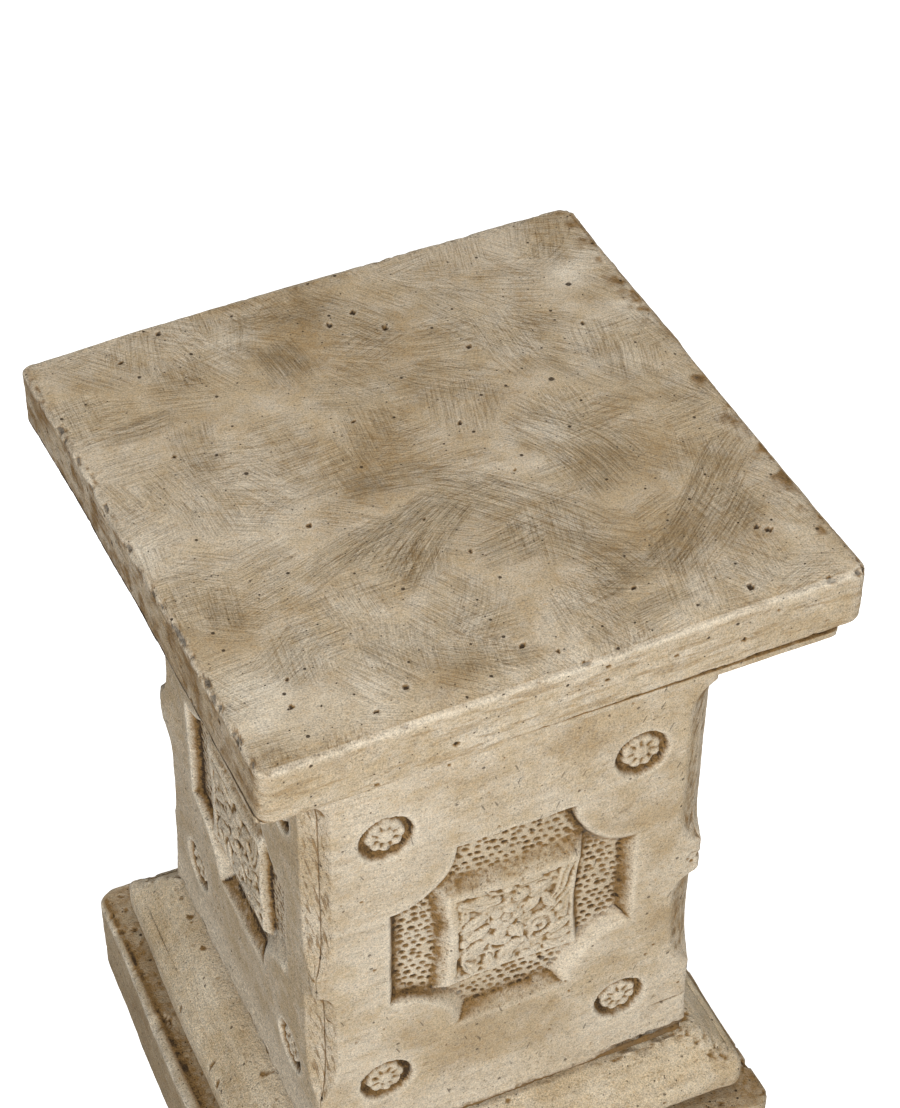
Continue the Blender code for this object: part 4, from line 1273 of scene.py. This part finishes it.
class Surface:
    """Builds one node material. Its methods add nodes and return values. Sizes are in metres."""

    def __init__(self, name):
        self.material = bpy.data.materials.new(name)
        self.material.use_nodes = True
        self.tree = self.material.node_tree
        self.tree.nodes.clear()
        self.coords = self.add("ShaderNodeTexCoord", {}, "Object")

    def add(self, kind, values, output=None, **settings):
        """Adds a node, sets or links its inputs, and returns the output asked for, or else all of them."""
        node = self.tree.nodes.new(kind)
        for key, setting in settings.items():
            setattr(node, key, setting)
        for key, value in values.items():
            if isinstance(value, Value):
                self.tree.links.new(value.socket, node.inputs[key])
            else:
                node.inputs[key].default_value = value
        if output is None:
            return {socket.name: Value(self, socket) for socket in node.outputs}
        return Value(self, node.outputs[output])

    def math(self, operation, a, b=0.0, clamp=False):
        return self.add("ShaderNodeMath", {0: a, 1: b}, 0, operation=operation, use_clamp=clamp)

    def larger(self, a, b):
        return self.math("MAXIMUM", a, b)

    def capped(self, a, b):
        """A sum kept from 0 to 1."""
        return self.math("ADD", a, b, clamp=True)

    def ease(self, value, low, high, to_low=0.0, to_high=1.0):
        values = {"Value": value, "From Min": low, "From Max": high, "To Min": to_low, "To Max": to_high}
        return self.add("ShaderNodeMapRange", values, 0, interpolation_type="SMOOTHSTEP")

    def placed(self, scale=(1, 1, 1), turn=(0, 0, 0), shift=(0, 0, 0), vector=None):
        values = {"Vector": vector or self.coords, "Scale": scale, "Rotation": turn, "Location": shift}
        return self.add("ShaderNodeMapping", values, "Vector")

    def noise(self, size, detail=2.0, roughness=0.55, distortion=0.0, vector=None):
        values = {
            "Vector": vector or self.coords, "Scale": 1.0 / size, "Detail": detail,
            "Roughness": roughness, "Distortion": distortion,
        }
        return self.add("ShaderNodeTexNoise", values, 0)

    def attribute(self, name, output="Fac"):
        return self.add("ShaderNodeAttribute", {}, output, attribute_name=name)

    def mix(self, factor, a, b):
        return self.add("ShaderNodeMix", {0: factor, 6: a, 7: b}, 2, data_type="RGBA")

    def vector_math(self, operation, a, b):
        return self.add("ShaderNodeVectorMath", {0: a, 1: b}, 0, operation=operation)

    def cells(self, size, vector):
        """(the outputs of a flat cell pattern, a random value for each cell)."""
        values = {"Vector": vector, "Scale": 1.0 / size}
        pattern = self.add("ShaderNodeTexVoronoi", values, voronoi_dimensions="2D")
        return pattern, self.add("ShaderNodeSeparateColor", {0: pattern["Color"]}, 0)

    def pores(self, size, share, radius, vector, ragged=None):
        """Small holes, one in some of the cells of a scattered flat pattern: 1 inside, 0 outside."""
        pattern, chance = self.cells(size, vector)
        reach = self.ease(chance, 1.0 - share, 1.0, 0.0, radius / size)
        away = pattern["Distance"]
        if ragged is not None:
            away = away + (ragged - 0.5) * (0.8 * radius / size)
        edge = self.math("DIVIDE", away, self.larger(reach, 1e-4))
        return self.ease(edge, 1.0, 0.6)

    def unrolled(self):
        """Flat coordinates that run round the upright sides and up them, without mirrored halves."""
        place = self.add("ShaderNodeSeparateXYZ", {0: self.coords})
        around = self.math("ABSOLUTE", place["X"]) - self.math("ABSOLUTE", place["Y"])
        half_turn = self.math("GREATER_THAN", place["X"], 0.0) * 0.513
        half_turn = half_turn + self.math("GREATER_THAN", place["Y"], 0.0) * 0.777
        return self.add("ShaderNodeCombineXYZ", {0: around, 1: place["Z"] + half_turn}, 0)

    def swirled(self, size, pitch, shift):
        """(bristle noise, strength): short brush marks whose direction changes from cell to cell."""
        pattern, chance = self.cells(size, self.placed(shift=shift))
        flat = self.vector_math("SUBTRACT", self.placed(shift=shift), pattern["Position"])
        values = {"Vector": flat, "Angle": chance * 2.3 - 0.35}
        turned = self.add("ShaderNodeVectorRotate", values, 0, rotation_type="Z_AXIS")
        drawn_out = self.placed(scale=(0.04, 1.0, 1.0), vector=turned)
        bristles = self.noise(pitch, 3.0, 0.65, 0.0, self.vector_math("ADD", drawn_out, pattern["Color"]))
        return bristles, self.ease(pattern["Distance"], 0.62, 0.30)

    def finish(self, colour, height_mm, roughness, specular=0.25, metallic=0.0, depth=MM):
        """Closes the material; height_mm is its fine relief, in units of depth."""
        normal = self.add("ShaderNodeBump", {"Height": height_mm, "Distance": depth, "Strength": 1.0}, 0)
        values = {
            "Base Color": colour, "Roughness": roughness, "Specular IOR Level": specular,
            "Metallic": metallic, "Normal": normal,
        }
        shader = self.add("ShaderNodeBsdfPrincipled", values, 0)
        self.add("ShaderNodeOutputMaterial", {"Surface": shader})
        return self.material


# ---------------- materials: the recipes
LIGHT = srgb(219, 206, 185)
MIDDLE = srgb(198, 180, 151)
BROWN = srgb(160, 134, 96)
DIRT = srgb(135, 105, 64)
DEEP_DIRT = srgb(66, 51, 34)
CHALK = srgb(233, 223, 205)
STEEL = srgb(150, 150, 150)
DARK_STEEL = srgb(112, 112, 114)
RUST = srgb(110, 66, 38)

# What every stone's recipe says unless it says otherwise: the strength of its brown patina, speckles, pores,
# dirt, wear, relief, weathering and painted shade and highlights on left-facing sides, pinholes and grain
STONE = {
    "mottle": 0.6, "speckle": 0.5, "pores": 0.5, "big_pores": 0.3, "dirt_gain": 1.0, "wear_gain": 0.5,
    "roughen": 1.0, "weather": 1.0, "hole_gain": 0.9, "grain": 1.15,
    "brushed": False, "carved": False, "tones": (LIGHT, MIDDLE, BROWN),
}
RECIPES = {
    "slab": {
        "mottle": 0.62, "pores": 0.38, "big_pores": 0.1, "streak": 1.0, "brushed": True, "wear_gain": 0.7,
    },
    "panel": {
        "mottle": 0.55, "pores": 0.36, "big_pores": 0.1, "streak": 0.28, "carved": True, "dirt_gain": 1.1,
        "roughen": 1.15, "weather": 0.8, "hole_gain": 0.65,
    },
    "moulding": {
        "streak": 0.30, "pores": 0.7, "roughen": 1.4, "speckle": 0.65, "weather": 0.0, "hole_gain": 0.7,
        "grain": 1.4, "tones": (srgb(228, 214, 190), srgb(213, 195, 165), srgb(172, 146, 106)),
    },
    "plinth": {
        "mottle": 0.8, "streak": 0.5, "pores": 0.9, "roughen": 1.6, "speckle": 0.75, "dirt_gain": 1.1,
        "tones": (MIDDLE, srgb(180, 161, 131), srgb(146, 124, 93)),
    },
}
# The two sets of short brush marks all over the slab's top: (cell size, bristle pitch, shift)
SWIRLS = ((0.046, 0.00085, (0.7, 0.2, 0.0)), (0.037, 0.00075, (0.1, 0.9, 0.0)))


def base_layers(s, recipe):
    """Notes a stone's noises and starts its colour, patina, relief, brightness and dark marks."""
    light, middle, _ = recipe.tones
    s.broad = s.noise(0.085, 3.0, 0.55, 0.3)
    blotch = s.noise(0.030, 4.0, 0.62, 0.5, s.placed(shift=(3.1, 1.7, 5.2)))
    s.cloudy = s.noise(0.012, 4.0, 0.65, 0.0, s.placed(shift=(7.7, 2.9, 1.3)))
    s.fine = s.noise(0.0042, 4.0, 0.65)
    s.sand = s.noise(0.0013, 2.0, 0.65)
    grit = s.noise(0.00075, 1.0, 0.6, 0.0, s.placed(shift=(0.9, 6.1, 2.2)))
    facing = s.add("ShaderNodeSeparateXYZ", {0: s.add("ShaderNodeNewGeometry", {}, "Normal")})
    # Left-facing sides are painted browner, dirtier and grittier with paler worn ridges: weathering, and
    # painted shade and painted highlights.
    s.upward = s.ease(facing["Z"], 0.55, 0.85)
    s.weathered = s.ease(facing["X"], -0.45, -0.95)

    s.colour = s.mix(s.ease(s.broad * 0.5 + s.cloudy * 0.5, 0.40, 0.60), light, middle)
    s.patina = s.ease(blotch * 0.6 + s.broad * 0.4, 0.46, 0.66) * recipe.mottle
    cloudy_left_shade = s.ease(s.cloudy, 0.3, 0.6, 0.15 * recipe.weather, 0.5 * recipe.weather)
    s.patina = s.larger(s.patina, s.weathered * cloudy_left_shade)
    s.height = s.fine * (0.45 * recipe.roughen) + s.sand * (0.50 * recipe.roughen)
    s.height = s.height + s.cloudy * (0.40 * recipe.roughen) + grit * 0.35
    s.bright = (s.sand - 0.5) * 1.15 + (s.fine - 0.5) * 0.65 + (s.cloudy - 0.5) * 0.30
    s.bright = s.bright + (grit - 0.5) * (s.weathered * 0.7 + recipe.grain)
    fibres = s.noise(0.0020, 2.0, 0.7, 0.0, s.placed(scale=(0.30, 0.30, 1.0), shift=(0.4, 0.2, 0.9)))
    s.marks = s.ease(fibres, 0.60, 0.70) * (0.55 * recipe.speckle)


def level_streaks(s, recipe):
    """Brown streaks that run level round the sides."""
    lines = s.noise(0.05, 4.0, 0.7, 0.3, s.placed(scale=(1.3, 1.3, 8.0)))
    thin = s.noise(0.05, 3.0, 0.6, 0.0, s.placed(scale=(4.0, 4.0, 34.0)))
    band = s.ease(lines * 0.78 + thin * 0.22, 0.48, 0.60) * recipe.streak
    if recipe.brushed:
        band = band * (1.0 - s.upward)
    s.patina = s.larger(s.patina, band)
    s.height = s.height + thin * (0.22 * recipe.streak)


def brush_marks(s):
    """The slab's brushed top: placed stains, short swirling marks, and the long strokes from its mesh."""
    s.marks = s.marks * (1.0 - s.upward)
    stain = s.attribute("stain")
    s.patina = s.capped(s.patina * 0.7, stain * 0.42 + s.upward * 0.26)
    s.colour = s.mix(s.ease(stain, 0.0, -0.9, 0.0, 0.55), s.colour, CHALK)
    strokes = [s.swirled(*swirl) for swirl in SWIRLS]
    strokes = [(bristles, strength * s.upward * 0.60) for bristles, strength in strokes]
    calm = s.ease(s.broad, 0.40, 0.56, 0.45, 1.1)
    for number in range(BRUSH_LAYERS):
        bristles = s.noise(0.52, 4.0, 0.72, 0.0, s.attribute(f"stroke_{number}", "Vector"))
        strokes.append((bristles, s.attribute(f"stroke_strength_{number}") * calm))
    for bristles, strength in strokes:
        s.patina = s.capped(s.patina, s.ease(bristles, 0.48, 0.61, -0.12, 0.42) * strength)
        s.colour = s.mix(s.ease(bristles, 0.46, 0.34, 0.0, 0.24) * strength, s.colour, CHALK)
        s.bright = s.bright + (bristles - 0.5) * strength * -1.2
        s.height = s.height + bristles * strength * -1.5


def dirt_wear_and_painted_shading(s, recipe):
    """Brown patina and specks, dirt in the hollows, and chalky rubbed places, over the stone's colour; the
    dirt layer also holds painted shade and the wear layer painted highlights.
    """
    s.patina = s.patina * s.ease(s.fine, 0.30, 0.60, 0.60, 1.0)
    s.colour = s.mix(s.patina, s.colour, recipe.tones[2])
    s.colour = s.mix(s.ease(s.sand, 0.54, 0.72) * recipe.speckle, s.colour, DIRT)
    s.colour = s.mix(s.ease(s.fine, 0.54, 0.68) * (0.5 * recipe.speckle), s.colour, DIRT)
    patchy = s.ease(s.fine * 0.5 + s.cloudy * 0.5, 0.34, 0.60, 0.50, 1.15)
    # On left-facing sides the dirt is deepened and the worn ridges paled: painted shade and painted
    # highlights as well as weathering.
    dirt = s.attribute("dirt") * patchy * (s.weathered * (0.65 * recipe.weather) + recipe.dirt_gain)
    s.colour = s.mix(s.ease(dirt, 0.0, 0.80), s.colour, DIRT)
    s.colour = s.mix(s.ease(dirt, 0.80, 1.30), s.colour, DEEP_DIRT)
    wear = s.attribute("wear") * s.ease(s.cloudy, 0.30, 0.60, 0.35, 1.0)
    s.colour = s.mix(wear * (s.weathered * 0.35 + recipe.wear_gain), s.colour, CHALK)


def holes_and_marks(s, recipe):
    """Pinholes of three sizes, and on carved stone the dashes, hatching and crumbs left by tools."""
    on_slope = s.math("GREATER_THAN", s.upward, 0.3)
    flat = s.add("ShaderNodeMix", {"Factor": on_slope, 4: s.unrolled(), 5: s.coords}, 1, data_type="VECTOR")
    holes = s.pores(0.0060, recipe.pores, 0.00050, flat, s.fine)
    holes = s.larger(holes, s.pores(0.0150, recipe.pores, 0.00105, flat, s.fine))
    holes = s.larger(holes, s.pores(0.0410, recipe.big_pores, 0.00170, flat, s.fine))
    if recipe.carved:
        tilted = s.placed(turn=(0, 0, 0.42), vector=flat)
        dashes = s.pores(0.0062, 0.52, 0.00050, s.placed(scale=(1.0, 0.16, 1.0), vector=tilted))
        holes = s.larger(holes, dashes * 0.7)
        hatch = s.noise(0.0030, 3.0, 0.6, 0.0, s.placed(scale=(1.0, 0.22, 1.0), vector=tilted))
        s.marks = s.larger(s.marks, s.ease(hatch, 0.52, 0.64) * s.attribute("rasped") * 0.75)
        crumbs = s.noise(0.0016, 1.0, 0.5, 0.0, s.placed(shift=(4.2, 0.3, 1.9)))
        s.marks = s.larger(s.marks, s.ease(crumbs, 0.57, 0.70) * s.attribute("granular") * 0.6)
    s.colour = s.mix(s.marks, s.colour, DIRT)
    s.colour = s.mix(holes * recipe.hole_gain, s.colour, DEEP_DIRT)
    s.height = s.height + s.marks * -0.45 + holes * -0.8


def stone(kind):
    """Weathered cast stone: cream skin, brown patina, dirt in hollows, rubbed arrises, pinholes, and painted
    shade and painted highlights carried in its dirt and wear layers.
    """
    recipe = SimpleNamespace(**{**STONE, **RECIPES[kind]})
    s = Surface(f"{kind}_stone")
    base_layers(s, recipe)
    level_streaks(s, recipe)
    if recipe.brushed:
        brush_marks(s)
    dirt_wear_and_painted_shading(s, recipe)
    holes_and_marks(s, recipe)
    colour = s.add("ShaderNodeHueSaturation", {"Color": s.colour, "Value": s.bright + 1.0}, 0)
    return s.finish(colour, s.height, s.ease(s.fine, 0.2, 0.8, 0.80, 0.95))


def mortar(name, tone):
    """Crumbly mortar, dark with dirt."""
    s = Surface(name)
    cloudy = s.noise(0.009, 4.0, 0.65)
    sand = s.noise(0.0014, 3.0, 0.65)
    colour = s.mix(s.ease(cloudy, 0.35, 0.65), tone, DIRT)
    colour = s.mix(s.ease(sand, 0.5, 0.7) * 0.45, colour, DEEP_DIRT)
    return s.finish(colour, cloudy * 0.5 + sand * 0.35, s.ease(sand, 0.2, 0.8, 0.85, 0.97))


def dowel_steel():
    """Plain drawn steel with spots of rust."""
    s = Surface("dowel_steel")
    drawn = s.noise(0.02, 3.0, 0.6, 0.0, s.placed(scale=(30.0, 30.0, 1.0)))
    rust = s.ease(s.noise(0.004, 4.0, 0.6), 0.50, 0.66)
    colour = s.mix(rust, s.mix(s.ease(drawn, 0.3, 0.7), STEEL, DARK_STEEL), RUST)
    metallic = s.ease(rust, 0.0, 1.0, 1.0, 0.2)
    roughness = s.ease(rust, 0.0, 1.0, 0.36, 0.85)
    return s.finish(colour, drawn + rust, roughness, specular=0.5, metallic=metallic, depth=0.05 * MM)


def dress_pieces(groups):
    """Gives every piece its material, body and slot, and the carried-over CAD nodes their materials."""
    surfaces = {
        "slab": stone("slab"), "panels": stone("panel"), "moulding": stone("moulding"),
        "plinth": stone("plinth"), "joints": mortar("bed_mortar", srgb(128, 104, 74)),
    }
    for group, pieces in groups.items():
        for piece in pieces:
            piece.data.materials.append(surfaces[group])
            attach(piece, "root")
    inner_mortar = mortar("fillet_mortar", srgb(168, 158, 140))
    steel = dowel_steel()
    for node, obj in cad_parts.items():
        finish = steel if "dowel" in node else inner_mortar
        for place in obj.material_slots:
            place.material = finish


# ---------------- studio
WORLD_SHOWN = 1.05
WORLD_FILL = 0.18
FLOOR_SHOWN = 0.86
FLOOR_REACH = 6.0
WARM = (1.0, 0.985, 0.955)
COOL = (0.97, 0.98, 1.0)
# (name, direction it comes from, distance, size, watts, colour)
LIGHTS = (
    ("key", (-0.32, -0.765, 0.56), 3.0, 1.0, 63.0, WARM),
    ("overhead", (0.10, 0.10, 1.0), 3.0, 1.6, 25.0, WARM),
    ("rear_fill", (0.75, 0.55, 0.75), 3.0, 2.0, 10.0, COOL),
)
TARGET = Vector((0.0, 0.0, 0.26))

# Camera: its place and aim were found from the straight edges of the slab and shaft
CAMERA_PLACE = Vector((-0.4432, -0.9364, 1.4112))
CAMERA_FORWARD = Vector((0.315, 0.647, -0.694))
CAMERA_RIGHT = Vector((0.903, -0.430, 0.009))
CAMERA_LENS = 94.0


def camera_only(tree, shown, otherwise):
    """A strength that is shown to the camera, and otherwise lights the scene."""
    path = tree.nodes.new("ShaderNodeLightPath")
    pick = tree.nodes.new("ShaderNodeMapRange")
    pick.inputs["To Min"].default_value = otherwise
    pick.inputs["To Max"].default_value = shown
    tree.links.new(path.outputs["Is Camera Ray"], pick.inputs["Value"])
    return pick.outputs[0]


def build_world():
    """A white surround that lights the scene only a little."""
    world = bpy.data.worlds.new("studio")
    bpy.context.scene.world = world
    world.use_nodes = True
    tree = world.node_tree
    background = tree.nodes["Background"]
    background.inputs["Color"].default_value = (1.0, 1.0, 1.0, 1.0)
    tree.links.new(camera_only(tree, WORLD_SHOWN, WORLD_FILL), background.inputs["Strength"])


def build_floor():
    """A white floor just under the plinth."""
    mesh = bpy.data.meshes.new("studio_floor")
    corners = [(x * FLOOR_REACH, y * FLOOR_REACH, 0.0) for x, y in ((-1, -1), (1, -1), (1, 1), (-1, 1))]
    mesh.from_pydata(corners, [], [(0, 1, 2, 3)])
    floor = bpy.data.objects.new("studio_floor", mesh)
    floor.location.z = -0.4 * MM
    bpy.context.scene.collection.objects.link(floor)
    s = Surface("studio_floor")
    values = {
        "Base Color": (0.86, 0.86, 0.86, 1.0), "Roughness": 0.9, "Emission Color": (1.0, 1.0, 1.0, 1.0),
        "Emission Strength": Value(s, camera_only(s.tree, FLOOR_SHOWN, 0.0)),
    }
    s.add("ShaderNodeOutputMaterial", {"Surface": s.add("ShaderNodeBsdfPrincipled", values, 0)})
    mesh.materials.append(s.material)


def build_lights():
    for name, direction, distance, size, watts, colour in LIGHTS:
        data = bpy.data.lights.new(name, "AREA")
        data.shape = "DISK"
        data.size = size
        data.energy = watts
        data.color = colour
        lamp = bpy.data.objects.new(name, data)
        out = Vector(direction).normalized()
        lamp.location = TARGET + out * distance
        lamp.rotation_euler = out.to_track_quat("Z", "Y").to_euler()
        bpy.context.scene.collection.objects.link(lamp)


def build_camera():
    """The camera, turned with the slab, which lies askew."""
    data = bpy.data.cameras.new("photo_camera")
    data.lens = CAMERA_LENS
    data.clip_start = 0.05
    camera = bpy.data.objects.new("photo_camera", data)
    back = -CAMERA_FORWARD.normalized()
    right = (CAMERA_RIGHT - back * CAMERA_RIGHT.dot(back)).normalized()
    up = back.cross(right)
    turn = Matrix((right, up, back)).transposed().to_4x4()
    camera.matrix_world = Matrix.Rotation(SLAB_TURN, 4, "Z") @ Matrix.Translation(CAMERA_PLACE) @ turn
    bpy.context.scene.collection.objects.link(camera)
    bpy.context.scene.camera = camera


dress_pieces(stone_pieces())
build_world()
build_floor()
build_lights()
build_camera()
bpy.context.scene.view_settings.view_transform = "Standard"
bpy.context.scene.view_settings.look = "None"
